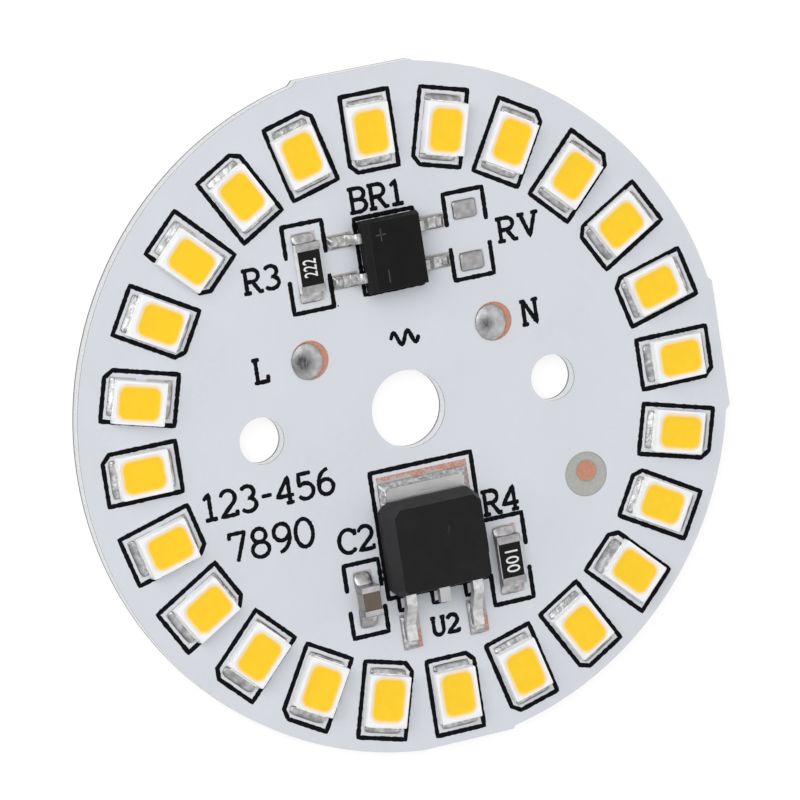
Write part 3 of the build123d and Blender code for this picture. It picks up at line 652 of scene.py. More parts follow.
def dome_finish(colours):
    """Tin on the mains pads: light towards its rim, with a dark streaked patch left of its top."""
    finish = Finish("mains_tin", colours.solder, 0.42, 1.0)
    low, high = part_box("mains_pad_solder")
    reach = (high.y - low.y) / 2
    patch = reach - 0.60 * MM
    live = finish.outside(0.28, (low.x + patch, low.y + reach), 0.75)
    neutral = finish.outside(0.10, (high.x - 2 * reach + patch, low.y + reach), 0.62)
    streaks = finish.span(finish.noise(0.30, 4.0, finish.stretched(2.2, 0.8, 1.0)), 0.34, 0.66)
    # A dark streaked patch, much darker than the tin round it
    dull = finish.tones(streaks, colours.solder, 0.09, 0.32)
    clear = finish.tones(finish.cloud(0.5, 2.0, 0.35, 0.65), colours.solder, 0.66, 0.88)
    finish.paint(finish.mix(finish.least(live, neutral), dull, clear))
    finish.roughen(finish.noise(0.4), 0.48, 0.60)
    finish.emboss(finish.noise(0.25), 0.014)
    return finish.material


def moulding_finish(name, base, low, high, walls):
    """Black epoxy with the fine grain of a spark-eroded mould, its upright walls painted lighter as painted
    light where the lamps fall on them.
    """
    finish = Finish(name, base, (low + high) / 2)
    finish.mute(0.10)
    top = finish.tones(finish.cloud(1.4, 3.0, 0.35, 0.7), base, 0.85, 1.15)
    # Painted light: upright walls take a lighter shade of the black
    finish.paint(finish.mix(finish.upright(), top, shade(base, walls)))
    finish.roughen(finish.noise(0.5), low, high)
    finish.emboss(finish.noise(0.045), 0.007)
    return finish.material


def ceramic_finish(name, base, low, high, gloss=0.5, walls=None):
    """Fired ceramic, glaze or light print, with walls in another colour where one is given; on the sense
    resistor that colour is the driver's painted shadow.
    """
    finish = Finish(name, base, (low + high) / 2)
    finish.mute(gloss)
    fired = finish.tones(finish.cloud(0.3, 3.0, 0.35, 0.7), base, 0.9, 1.06)
    finish.paint(finish.mix(finish.upright(), fired, walls) if walls else fired)
    finish.roughen(finish.noise(0.2), low, high)
    finish.emboss(finish.noise(0.05), 0.003)
    return finish.material


MATERIALS = {}
NODE_FINISHES = {
    "driver_heat_tab": "tab_tin", "driver_lead_left": "driver_tin", "driver_lead_right": "driver_tin",
    # The sense resistor's ceramic takes the alumina with the driver's painted shadow on its walls
    "capacitor_terminals": "end_cap", "sense_resistor_ceramic": "shaded_alumina",
}


def make_materials(colours, sizes):
    solder = colours.solder
    terminal = colours.terminal
    MATERIALS.update({
        "solder_mask": mask_finish(colours),
        "dielectric": dielectric_finish(colours),
        "copper": copper_finish(colours),
        "core": core_finish(colours),
        "ink": ink_finish(colours),
        "led_housing": housing_finish(colours),
        "phosphor": phosphor_finish(colours, sizes),
        "tab_tin": tab_finish(colours),
        "mains_tin": dome_finish(colours),
        # The last figure is how much lighter the walls are painted: painted light on the lit walls
        "driver_moulding": moulding_finish("driver_epoxy", colours.driver, 0.46, 0.60, 2.6),
        "rectifier_moulding": moulding_finish("rectifier_epoxy", colours.rectifier, 0.50, 0.64, 1.5),
        # Painted highlight on the rounded edges of the mouldings, lighter than the black
        "moulding_edge": moulding_finish("moulded_edge", colours.edge, 0.30, 0.42, 1.0),
    })
    # Columns: key, material name, base colour, low and high roughness, cell, relief depth, dark share of the
    # cloud, and the painted shade at the foot (1 leaves none)
    for key, name, base, low, high, cell_mm, depth_mm, dark, foot in (
        ("silvered_frame", "silver_plate", colours.silver, 0.22, 0.36, 0.30, 0.003, 0.80, 1.0),
        ("tinned_lead", "matt_tin", shade(colours.tin, 0.92), 0.24, 0.42, 0.30, 0.020, 0.58, 1.0),
        ("driver_tin", "driver_lead_tin", shade(colours.tin, 1.12), 0.28, 0.42, 0.40, 0.016, 0.74, 1.0),
        ("driver_solder", "driver_joint", shade(solder, 1.04), 0.42, 0.56, 0.26, 0.030, 0.62, 0.50),
        ("solder", "reflowed_solder", solder, 0.20, 0.36, 0.45, 0.040, 0.55, 0.18),
        ("rectifier_solder", "rectifier_joint", shade(solder, 0.84), 0.20, 0.36, 0.45, 0.040, 0.55, 0.18),
        ("bright_solder", "bright_solder", colours.bright_solder, 0.32, 0.46, 0.45, 0.020, 0.62, 0.36),
        ("pad_tin", "pad_tin", shade(solder, 0.65), 0.34, 0.46, 0.40, 0.012, 0.76, 0.45),
        ("chip_terminal", "chip_terminal_tin", terminal, 0.28, 0.40, 0.40, 0.010, 0.74, 1.0),
        ("end_cap", "end_cap_tin", shade(terminal, 1.18), 0.28, 0.40, 0.50, 0.010, 0.82, 1.0),
    ):
        MATERIALS[key] = metal_finish(name, base, low, high, cell_mm, depth_mm, dark, foot)
    for key, name, base, low, high, gloss, walls in (
        ("die", "sapphire_die", colours.die, 0.10, 0.18, 0.50, None),
        ("alumina", "fired_alumina", colours.alumina, 0.50, 0.65, 0.50, None),
        # Painted shadow: the driver's shade painted dark on the sense resistor's walls
        ("shaded_alumina", "dusky_alumina", colours.alumina, 0.50, 0.65, 0.50, (0.18, 0.18, 0.19)),
        ("capacitor_ceramic", "capacitor_brown", colours.capacitor, 0.34, 0.50, 0.30, (0.225, 0.22, 0.205)),
        ("resistor_coat", "resistor_glaze", colours.glaze, 0.26, 0.36, 0.10, None),
        ("code", "code_print", colours.code, 0.50, 0.60, 0.50, None),
        ("faint_mark", "faint_mark", colours.faint_mark, 0.50, 0.60, 0.50, None),
    ):
        MATERIALS[key] = ceramic_finish(name, base, low, high, gloss, walls)


def dress_nodes():
    """Gives every CAD node its own material, or that of its slot."""
    for part in frame["record"]["subparts"]:
        node = frame["nodes"][part["node"]]
        node.data.materials.clear()
        finish = NODE_FINISHES.get(part["node"], part["material_slot"])
        node.data.materials.append(MATERIALS[finish])


def soften_edges(name, width, segments=3, degrees=25.0):
    """Rounds the sharp edges of a CAD node with live modifiers."""
    node = frame["nodes"][name]
    weld = node.modifiers.new("weld", "WELD")
    weld.merge_threshold = 1e-6
    bevel = node.modifiers.new("edge", "BEVEL")
    bevel.width = width
    bevel.segments = segments
    bevel.limit_method = "ANGLE"
    bevel.angle_limit = math.radians(degrees)
    bevel.use_clamp_overlap = True
    bevel.harden_normals = True
    return bevel


# LEDs

def led_angle(index):
    return 2 * math.pi * index / LED_COUNT


def led_facing(index):
    """Turn of an LED: the first and the last of each four face out."""
    return led_angle(index) if index % 4 in (0, 3) else led_angle(index) + math.pi


def led_site(index, radius):
    """Printed place of an LED; local X points to its cathode end."""
    centre = Matrix.Rotation(led_angle(index), 4, "Z") @ Vector((radius, 0, 0))
    return ARTWORK @ Matrix.Translation(centre) @ Matrix.Rotation(led_facing(index), 4, "Z")


def led_place(index):
    """Where the LED itself sits."""
    low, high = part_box(f"led_housing_{index + 1:02d}")
    centre = (low + high) / 2
    return Matrix.Translation((centre.x, centre.y, LED_SEAT)) @ Matrix.Rotation(led_facing(index), 4, "Z")


def add_funnel(name, sizes, bottom, top, margin=0.0):
    """Space of the reflector cup between two heights over the seat."""
    rim_height = LED_TOP - LED_SEAT
    slope = math.tan(sizes.cup_draft)
    lean = 2 * (top - rim_height) * slope - 2 * margin
    long = sizes.cup_length + lean
    wide = sizes.cup_width + lean
    piece = add_block(
        name, (sizes.cup_shift - long / 2, -wide / 2, bottom), (sizes.cup_shift + long / 2, wide / 2, top)
    )
    pinch = 2 * (top - bottom) * slope
    scale_end(piece, faces_down, 1 - pinch / long, 1 - pinch / wide, (sizes.cup_shift, 0, bottom))
    round_upright_edges(piece, sizes.cup_corner, 6)
    return piece


class LEDBOARD_OT_led_housings(bpy.types.Operator):
    """Model the white LED housings with their reflector cups"""

    bl_idname = "ledboard.led_housings"
    bl_label = "LED housings"

    def execute(self, context):
        sizes = context.scene.led_board_sizes
        height = LED_TOP - LED_SEAT
        plate = PLATE_TOP - LED_SEAT
        half_long = sizes.led_length / 2
        half_wide = sizes.led_width / 2
        housing = add_block("led_moulding", (-half_long, -half_wide, 0), (half_long, half_wide, height))
        lean = height * math.tan(sizes.led_draft)
        scale_end(housing, faces_up, 1 - lean / half_long, 1 - lean / half_wide, (0, 0, height))
        round_upright_edges(housing, sizes.led_corner, 2)
        cut(housing, add_funnel("cup_tool", sizes, plate - 0.005 * MM, height + 0.1 * MM))
        for start, end in PLATE_SLOTS:
            slot_low = (start * MM, -PLATE_HALF_WIDTH, -0.05 * MM)
            cut(housing, add_block("plate_tool", slot_low, (end * MM, PLATE_HALF_WIDTH, plate)))
        apply_modifier(
            housing, "BEVEL", width=sizes.cup_lip, segments=2, limit_method="ANGLE",
            angle_limit=math.radians(40), use_clamp_overlap=True
        )
        smooth_by_angle(housing, 45)
        for index in range(LED_COUNT):
            piece = copy_to(housing, f"led_moulding_{index + 1:02d}", led_place(index))
            finish_piece(piece, "led_housing", "led_housing", f"led_housing_{index + 1:02d}")
        bpy.data.objects.remove(housing)
        return {"FINISHED"}


class LEDBOARD_OT_led_resin(bpy.types.Operator):
    """Fill the cups with dished phosphor resin"""

    bl_idname = "ledboard.led_resin"
    bl_label = "LED resin"

    def execute(self, context):
        sizes = context.scene.led_board_sizes
        top = LED_TOP - LED_SEAT - sizes.resin_drop
        resin = add_funnel("resin", sizes, PLATE_TOP - LED_SEAT, top, margin=0.004 * MM)
        swell_top(
            resin, sizes.resin_edge, -sizes.resin_dish,
            ((0.14, 0.17), (0.19, 0.23), (0.24, 0.26), (0.24, 0.22), (0.19, 0.12))
        )
        smooth_by_angle(resin, 50)
        fills = [copy_to(resin, "resin_fill", led_place(index)) for index in range(LED_COUNT)]
        bpy.data.objects.remove(resin)
        finish_piece(join("phosphor_fill", fills), "phosphor", "phosphor", "led_phosphor")
        return {"FINISHED"}


# Solder

def add_fillet():
    """Solder fillet in a box of one unit each way; it falls from x = 0 to x = 1."""
    piece = add_block("fillet", (0, -0.5, 0), (1, 0.5, 1))
    start_editing(piece, "EDGE")
    pick(piece, "edges", lambda edge: all(v.co.z > 0.9 and v.co.x > 0.9 for v in edge.verts))
    bpy.ops.transform.translate(value=(-0.25, 0, -0.62))
    bpy.ops.mesh.select_all(action="SELECT")
    bpy.ops.mesh.subdivide(number_cuts=1)
    pick(piece, "edges", lambda edge: all(abs(v.co.y) > 0.45 and v.co.z > 0.2 for v in edge.verts))
    bpy.ops.transform.resize(value=(1, 0.95, 0.8), center_override=(0, 0, 0))
    pick(piece, "edges", lambda edge: all(v.co.x > 0.9 for v in edge.verts))
    bpy.ops.transform.resize(value=(1, 0.86, 1), center_override=(0, 0, 0))
    bpy.ops.mesh.select_all(action="SELECT")
    bpy.ops.transform.resize(value=(1.06, 1.03, 1.0), center_override=(0, 0, 0))
    stop_editing()
    apply_modifier(piece, "SUBSURF", levels=2, render_levels=2)
    smooth(piece)
    return piece


class LEDBOARD_OT_led_fillets(bpy.types.Operator):
    """Lay the solder fillets at both ends of every LED"""

    bl_idname = "ledboard.led_fillets"
    bl_label = "LED fillets"

    def execute(self, context):
        sizes = context.scene.led_board_sizes
        template = add_fillet()
        rise = PLATE_TOP - COPPER_TOP
        tuck = 0.05 * MM
        reach = sizes.led_pad_end + FILLET_OVERRUN
        half = sizes.led_pad_width / 2 + FILLET_OVERRUN
        dice = random.Random(11)
        fillets = []
        for index in range(LED_COUNT):
            site = led_site(index, sizes.led_ring_radius)
            lag = (site.inverted() @ led_place(index)).translation
            drift = site.to_3x3().inverted() @ PASTE_SLIP
            low_y = -half + max(0, drift.y)
            high_y = half + min(0, drift.y)
            for end in (-1, 1):
                outer = end * reach + (min(0, drift.x) if end > 0 else max(0, drift.x))
                inner = end * (sizes.led_length / 2 - tuck) + lag.x
                size = Matrix.Diagonal((outer - inner, high_y - low_y, rise * dice.uniform(0.9, 1.1), 1))
                corner = Matrix.Translation((inner, (low_y + high_y) / 2, COPPER_TOP))
                fillet = copy_to(template, "fillet_copy", site @ corner @ size)
                if outer < inner:
                    fillet.data.flip_normals()
                fillets.append(fillet)
        bpy.data.objects.remove(template)
        joined = join("led_fillets", fillets)
        ripple(joined, 0.50, 0.08)
        finish_piece(joined, "solder", "solder", "led_solder")
        return {"FINISHED"}


def bare_the_band(piece, sizes):
    """Draws the driver's solder back from the pad's end above the tab."""
    tab_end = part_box("driver_heat_tab")[1].y
    drag(piece, lambda vertex: vertex.co.y > tab_end + 0.05 * MM, (0, -sizes.bare_band, 0))


def draw_in_toes(piece, sizes):
    """Draws the driver's toe joints in at their lower right corners, where copper shows."""
    toe_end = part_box("driver_solder")[0].y

    def right_of_toe(vertex):
        lead = "driver_lead_left" if vertex.co.x < 0 else "driver_lead_right"
        return vertex.co.y < toe_end + 0.35 * MM and vertex.co.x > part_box(lead)[1].x

    drag(piece, right_of_toe, (-sizes.toe_draw, 0, 0))


def melt(name, node, cell, creep, wave_size_mm, waves_mm, shaping=()):
    """A copy of a node's solder as reflowed metal; cell and creep are shares of the set sizes."""
    sizes = bpy.context.scene.led_board_sizes
    piece = copy_node(name, node)
    bpy.ops.mesh.select_mode(type="FACE")
    pick(piece, "faces", lambda face: not faces_down(face))
    bpy.ops.transform.shrink_fatten(value=creep * sizes.solder_creep, use_even_offset=True)
    for shape in shaping:
        shape(piece, sizes)
    stop_editing()
    apply_modifier(piece, "REMESH", mode="VOXEL", voxel_size=cell * sizes.solder_grain, adaptivity=0.0)
    apply_modifier(piece, "SMOOTH", factor=0.5, iterations=4)
    ripple(piece, wave_size_mm, waves_mm)
    smooth(piece)
    finish_piece(piece, node, "solder", node)


class LEDBOARD_OT_reflowed_solder(bpy.types.Operator):
    """Reshape the solder of the rectifier and the driver"""

    bl_idname = "ledboard.reflowed_solder"
    bl_label = "Reflowed solder"

    def execute(self, context):
        melt("rectifier_joints", "rectifier_solder", cell=1.0, creep=1.3, wave_size_mm=0.35, waves_mm=0.07)
        melt(
            "driver_joints", "driver_solder", cell=1.15, creep=1.4, wave_size_mm=0.45, waves_mm=0.10,
            shaping=(bare_the_band, draw_in_toes)
        )
        return {"FINISHED"}


def solid_boxes(node):
    """Lowest and highest corner of each solid of a CAD node."""
    copy_node("solids", node)
    bpy.ops.mesh.separate(type="LOOSE")
    stop_editing()
    boxes = []
    for solid in list(bpy.context.selected_objects):
        boxes.append((Vector(solid.bound_box[0]), Vector(solid.bound_box[6])))
        bpy.data.objects.remove(solid)
    return sorted(boxes, key=lambda box: (round(box[0].x, 5), round(box[0].y, 5)))


class LEDBOARD_OT_chip_joints(bpy.types.Operator):
    """Lay the solder at both ends of every chip"""

    bl_idname = "ledboard.chip_joints"
    bl_label = "Chip joints"

    def execute(self, context):
        template = add_fillet()
        boxes = solid_boxes("chip_solder")
        near_across = 1.0 * MM
        near_along = 4.0 * MM
        tuck = 0.06 * MM
        overrun = 0.05 * MM
        widening = 0.08 * MM
        slip = 0.03 * MM
        joints = []
        for chip in CHIP_TERMINALS:
            low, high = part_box(chip)
            middle = (low + high) / 2
            for start, end in boxes:
                centre = (start.x + end.x) / 2
                if abs(centre - middle.x) > near_across or abs(start.y - middle.y) > near_along:
                    continue
                upper = start.y > middle.y
                inner = high.y - tuck if upper else low.y + tuck
                outer = end.y + overrun if upper else start.y - overrun
                corner = Matrix.Translation((centre - slip, inner, COPPER_TOP))
                turn = Matrix.Rotation(math.pi / 2 if upper else -math.pi / 2, 4, "Z")
                wide = end.x - start.x + widening
                size = Matrix.Diagonal((abs(outer - inner), wide, end.z - COPPER_TOP, 1))
                joints.append(copy_to(template, "chip_joint", corner @ turn @ size))
        bpy.data.objects.remove(template)
        joined = join("chip_joints", joints)
        ripple(joined, 0.40, 0.10)
        finish_piece(joined, "bright_solder", "solder", "chip_solder")
        return {"FINISHED"}


class LEDBOARD_OT_varistor_tin(bpy.types.Operator):
    """Swell the tin on the two bare varistor pads"""

    bl_idname = "ledboard.varistor_tin"
    bl_label = "Varistor tin"

    def execute(self, context):
        over = context.scene.led_board_sizes.tin_overrun
        foot = COPPER_TOP + 0.04 * MM
        corner = 0.22 * MM
        swell = 0.15 * MM
        steps = ((0.05, 0.36), (0.07, 0.30), (0.09, 0.20), (0.11, 0.12))
        pads = []
        for low, high in solid_boxes("varistor_pad_solder"):
            pad = add_block(
                "varistor_pad", (low.x - over, low.y - 1.3 * over, COPPER_TOP),
                (high.x + over, high.y + over, foot)
            )
            round_upright_edges(pad, corner, 5)
            swell_top(pad, (high.y - low.y) / 2, swell, steps)
            pads.append(pad)
        joined = join("varistor_tin", pads)
        apply_modifier(joined, "SUBSURF", levels=2, render_levels=2)
        ripple(joined, 0.45, 0.05)
        smooth(joined)
        finish_piece(joined, "pad_tin", "solder", "varistor_pad_solder")
        return {"FINISHED"}


class LEDBOARD_OT_mains_domes(bpy.types.Operator):
    """Raise the tin on the two mains pads"""

    bl_idname = "ledboard.mains_domes"
    bl_label = "Mains domes"

    def execute(self, context):
        sizes = context.scene.led_board_sizes
        low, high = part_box("mains_pad_solder")
        reach = (high.y - low.y) / 2
        foot = 0.25 * sizes.dome_height
        bpy.ops.object.select_all(action="DESELECT")
        bpy.ops.mesh.primitive_cylinder_add(
            vertices=48, radius=1, depth=foot, location=(0, 0, foot / 2),
            scale=(sizes.dome_half_width, sizes.dome_half_length, 1)
        )
        bpy.ops.object.transform_apply(location=True, rotation=True, scale=True)
        dome = bpy.context.object
        steps = ((0.10, 0.24), (0.14, 0.20), (0.18, 0.15), (0.20, 0.10), (0.22, 0.05), (0.18, 0.01))
        swell_top(dome, sizes.dome_half_width, sizes.dome_height, steps)
        smooth(dome)
        domes = []
        for x in (low.x + reach, high.x - reach):
            place = Matrix.Translation((x - sizes.dome_shift, (low.y + high.y) / 2, COPPER_TOP))
            domes.append(copy_to(dome, "mains_dome", place))
        bpy.data.objects.remove(dome)
        joined = join("mains_domes", domes)
        apply_modifier(joined, "SUBSURF", levels=2, render_levels=2)
        ripple(joined, 0.35, 0.06)
        finish_piece(joined, "mains_tin", "solder", "mains_pad_solder")
        return {"FINISHED"}


# Printed lines

# Places of the print, in millimetres: boxes by middle and size, brackets also with their opening
PART_BOXES = ((0.07, 10.58, 4.00, 4.85), (0.0, -7.21, 6.94, 8.18))
PART_BRACKETS = (
    (-5.42, 10.63, 2.69, 5.57, 1.35), (5.56, 10.63, 2.69, 5.57, 1.35), (4.95, -10.48, 2.69, 5.57, 1.35),
    (-4.97, -10.95, 2.37, 4.73, 1.19),
)
LEAD_BOXES = ((-2.30, -11.75, 1.04, 0.90), (0.0, -11.75, 1.04, 0.90), (2.30, -11.75, 1.04, 0.90))


def in_metres(points):
    return [(x * MM, y * MM) for x, y in points]


def rectangle(x, y, width, height):
    return [
        (x - width / 2, y - height / 2), (x + width / 2, y - height / 2),
        (x + width / 2, y + height / 2), (x - width / 2, y + height / 2)
    ]


def brackets(x, y, width, length, opening):
    """Two facing brackets, open at the middle of their long sides."""
    left = x - width / 2
    right = x + width / 2
    gap = opening / 2
    upper = [(left, y + gap), (left, y + length / 2), (right, y + length / 2), (right, y + gap)]
    lower = [(left, y - gap), (left, y - length / 2), (right, y - length / 2), (right, y - gap)]
    return [upper, lower]


def arc(x, y, wide, high, start, end, steps=10):
    """Points along part of an ellipse, between two angles in degrees."""
    points = []
    for number in range(steps + 1):
        turn = math.radians(start + (end - start) * number / steps)
        points.append((x + wide * math.cos(turn), y + high * math.sin(turn)))
    return points


def draw_line(name, points, width, closed, dice, ragged, step_mm):
    """A cord of slightly uneven width along points in metres, turned into a mesh."""
    count = len(points)
    line = []
    for number in range(count if closed else count - 1):
        start = Vector(points[number])
        end = Vector(points[(number + 1) % count])
        pieces = max(1, round((end - start).length / (step_mm * MM)))
        line += [start.lerp(end, k / pieces) for k in range(pieces)]
    if not closed:
        line.append(Vector(points[-1]))
    curve = bpy.data.curves.new(name, "CURVE")
    curve.dimensions = "3D"
    curve.bevel_depth = width / 2
    curve.bevel_resolution = 1
    curve.use_fill_caps = True
    spline = curve.splines.new("POLY")
    spline.points.add(len(line) - 1)
    for point, place in zip(spline.points, line):
        point.co = (place[0], place[1], 0, 1)
        point.radius = 1 + ragged * dice.uniform(-1, 0.6)
    if not closed:
        for point in (spline.points[0], spline.points[-1]):
            point.radius *= 0.72
    spline.use_cyclic_u = closed
    piece = bpy.data.objects.new(name, curve)
    bpy.context.collection.objects.link(piece)
    only(piece)
    bpy.ops.object.convert(target="MESH")
    return bpy.context.object


def lay_flat(piece, place, level, height, width):
    """Flattens a drawn line to the ink's height and lays it on a surface."""
    flat = Matrix.Diagonal((1, 1, height / width, 1))
    piece.data.transform(Matrix.Translation((0, 0, level + height / 2)) @ place @ flat)


def print_line(name, points, width, closed, dice, place=Matrix.Identity(4), step_mm=0.16, ragged=None):
    """A line of ink on the solder mask."""
    sizes = bpy.context.scene.led_board_sizes
    ragged = sizes.ink_ragged if ragged is None else ragged
    line = draw_line(name, points, width, closed, dice, ragged, step_mm)
    lay_flat(line, place, MASK_TOP, sizes.ink_height, width)
    return line


def finish_print(name, lines, *nodes):
    joined = join(name, lines)
    smooth_by_angle(joined, 60)
    finish_piece(joined, "ink", "ink", *nodes)


class LEDBOARD_OT_printed_outlines(bpy.types.Operator):
    """Print the outlines round the parts"""

    bl_idname = "ledboard.printed_outlines"
    bl_label = "Printed outlines"

    def execute(self, context):
        sizes = context.scene.led_board_sizes
        pen = sizes.ink_width
        dice = random.Random(5)
        half_x = sizes.frame_length / 2
        half_y = sizes.frame_width / 2
        clip = sizes.frame_clip
        outline = [
            (-half_x, -half_y), (half_x - clip, -half_y), (half_x, clip - half_y), (half_x, half_y),
            (-half_x, half_y)
        ]
        lines = []
        for index in range(LED_COUNT):
            place = led_site(index, sizes.led_ring_radius)
            lines.append(print_line("led_outline", outline, pen, True, dice, place))
        for box in PART_BOXES:
            lines.append(print_line("part_outline", in_metres(rectangle(*box)), pen, True, dice, ARTWORK))
        for site in PART_BRACKETS:
            for bracket in brackets(*site):
                lines.append(print_line("part_outline", in_metres(bracket), pen, False, dice, ARTWORK))
        fine_pen = 0.9 * pen
        for box in LEAD_BOXES:
            points = in_metres(rectangle(*box))
            lines.append(print_line("lead_outline", points, fine_pen, True, dice, ARTWORK))
        finish_print("printed_lines", lines, "printed_outlines")
        return {"FINISHED"}


# Lettering: slab letters drawn with a round pen, on a grid whose capitals are one unit high

GLYPHS = {
    "B": (0.78, [
        [(0.0, 1.0), (0.42, 1.0)] + arc(0.42, 0.76, 0.24, 0.24, 90, -90) + [(0.14, 0.52)],
        [(0.42, 0.52)] + arc(0.42, 0.26, 0.28, 0.26, 90, -90) + [(0.0, 0.0)],
        [(0.14, 1.0), (0.14, 0.0)],
    ]),
    "C": (0.76, [arc(0.40, 0.5, 0.38, 0.5, 42, 318, 18), [(0.70, 0.98), (0.70, 0.70)]]),
    "L": (0.72, [
        [(0.0, 1.0), (0.36, 1.0)], [(0.17, 1.0), (0.17, 0.0)], [(0.0, 0.0), (0.66, 0.0), (0.66, 0.28)],
    ]),
    "N": (0.88, [
        [(0.0, 1.0), (0.18, 1.0), (0.70, 0.0), (0.70, 1.0)], [(0.54, 1.0), (0.86, 1.0)],
        [(0.14, 1.0), (0.14, 0.0)], [(0.0, 0.0), (0.32, 0.0)],
    ]),
    "R": (0.84, [
        [(0.0, 1.0), (0.42, 1.0)] + arc(0.42, 0.74, 0.25, 0.26, 90, -90) + [(0.14, 0.48)],
        [(0.14, 1.0), (0.14, 0.0)], [(0.0, 0.0), (0.32, 0.0)],
        [(0.40, 0.48), (0.66, 0.0), (0.82, 0.0)],
    ]),
    "U": (0.86, [
        [(0.0, 1.0), (0.30, 1.0)], [(0.54, 1.0), (0.84, 1.0)],
        [(0.15, 1.0)] + arc(0.42, 0.29, 0.27, 0.29, 180, 360) + [(0.69, 1.0)],
    ]),
    "V": (0.86, [
        [(0.0, 1.0), (0.30, 1.0)], [(0.56, 1.0), (0.86, 1.0)], [(0.14, 1.0), (0.43, 0.0), (0.72, 1.0)],
    ]),
    "0": (0.72, [arc(0.34, 0.5, 0.31, 0.5, 0, 360, 20)[:-1]]),
    "1": (0.60, [[(0.08, 0.80), (0.30, 1.0), (0.30, 0.0)], [(0.06, 0.0), (0.54, 0.0)]]),
    "2": (0.72, [
        arc(0.34, 0.70, 0.28, 0.30, 165, -40, 12) + [(0.04, 0.0), (0.64, 0.0), (0.64, 0.18)],
    ]),
    "3": (0.70, [arc(0.31, 0.75, 0.26, 0.25, 150, -80, 10) + arc(0.31, 0.26, 0.30, 0.26, 80, -150, 10)]),
    "4": (0.74, [[(0.50, 0.0), (0.50, 1.0), (0.02, 0.28), (0.68, 0.28)], [(0.34, 0.0), (0.66, 0.0)]]),
    "5": (0.72, [[(0.60, 1.0), (0.12, 1.0), (0.09, 0.56)] + arc(0.32, 0.31, 0.31, 0.31, 130, -150, 14)]),
    "6": (0.72, [arc(0.52, 0.42, 0.46, 0.58, 95, 190, 9), arc(0.34, 0.30, 0.28, 0.30, 0, 360, 16)[:-1]]),
    "7": (0.70, [[(0.06, 0.80), (0.06, 1.0), (0.62, 1.0), (0.26, 0.0)]]),
    "8": (0.72, [
        arc(0.34, 0.76, 0.24, 0.24, 0, 360, 14)[:-1], arc(0.34, 0.26, 0.30, 0.27, 0, 360, 16)[:-1],
    ]),
    "9": (0.72, [arc(0.16, 0.58, 0.46, 0.58, 275, 370, 9), arc(0.34, 0.70, 0.28, 0.30, 0, 360, 16)[:-1]]),
    "-": (0.56, [[(0.06, 0.46), (0.46, 0.46)]]),
}
CLOSED_STROKES = {"0": (0,), "6": (1,), "8": (0, 1), "9": (1,)}
# Words, with the left end of their baseline, the height of their capitals, spread and gap
WORDS = (
    ("R3", -9.66, 9.34, 1.45, 1.12, 0.03), ("BR1", -1.90, 13.00, 1.50, 1.10, 0.03),
    ("RV", 7.66, 9.28, 1.45, 1.18, 0.03), ("N", 8.46, 3.72, 1.50, 0.98, 0.03),
    ("L", -9.90, 3.66, 1.45, 1.0, 0.03), ("R4", 3.92, -7.80, 1.50, 1.08, 0.03),
    ("C2", -6.02, -8.24, 1.50, 1.08, 0.03), ("U2", -0.74, -14.72, 1.12, 1.08, 0.03),
    ("123-456", -14.60, -4.22, 1.62, 1.06, 0.08), ("7890", -13.28, -7.22, 1.80, 1.04, 0.08),
)
# Codes of the chips: piece, node, figures, turn in degrees and share of their plain width
CHIP_CODES = (
    ("bleed_code", "bleed_resistor_coat", "222", 90, 0.74),
    ("sense_code", "sense_resistor_coat", "100", -90, 1.02),
)
# Polarity marks by the rectifier's leads: piece, place from its middle, and half its size
POLARITY_BARS = (
    ("plus_across", -0.86, 1.34, 0.34, 0.04), ("plus_up", -0.86, 1.34, 0.04, 0.40),
    ("minus_bar", -0.70, -1.34, 0.04, 0.42),
)


def write(words, x, y, height, spread, gap, pen, dice):
    """Prints words from a point on the baseline; x, y and height are in millimetres."""
    lines = []
    cursor = x
    for letter in words:
        advance, strokes = GLYPHS[letter]
        for number, stroke in enumerate(strokes):
            points = in_metres([(cursor + px * height * spread, y + py * height) for px, py in stroke])
            ring = number in CLOSED_STROKES.get(letter, ())
            lines.append(print_line("letter_line", points, pen, ring, dice, step_mm=0.11))
        cursor += (advance + gap) * height * spread
    return lines


class LEDBOARD_OT_lettering(bpy.types.Operator):
    """Print plain letters and numbers beside the parts and pads"""

    bl_idname = "ledboard.lettering"
    bl_label = "Lettering"

    def execute(self, context):
        pen = context.scene.led_board_sizes.letter_pen
        dice = random.Random(8)
        lines = []
        for words in WORDS:
            lines += write(*words, pen, dice)
        wave = [(0.45 + 0.95 * t / 12, 4.55 + 0.42 * math.sin(math.pi * t / 6)) for t in range(-12, 13)]
        lines.append(print_line("mains_sign", in_metres(wave), pen, False, dice, step_mm=0.11))
        speck = in_metres([(-3.66, 7.40), (-3.60, 7.43)])
        lines.append(print_line("ink_speck", speck, 0.6 * pen, False, dice, ragged=0))
        finish_print("board_letters", lines)
        return {"FINISHED"}


def add_code(name, words, height, place, thickness):
    """Plain figures as a thin solid, made a mesh before they are placed."""
    bpy.ops.object.select_all(action="DESELECT")
    bpy.ops.object.text_add(location=(0, 0, 0))
    piece = bpy.context.object
    piece.name = name
    piece.data.body = words
    piece.data.size = height
    piece.data.align_x = "CENTER"
    piece.data.align_y = "CENTER"
    piece.data.extrude = thickness / 2
    piece.data.offset = 0.006 * height
    piece.data.space_character = 1.05
    only(piece)
    bpy.ops.object.convert(target="MESH")
    piece = bpy.context.object
    piece.data.transform(place)
    return piece


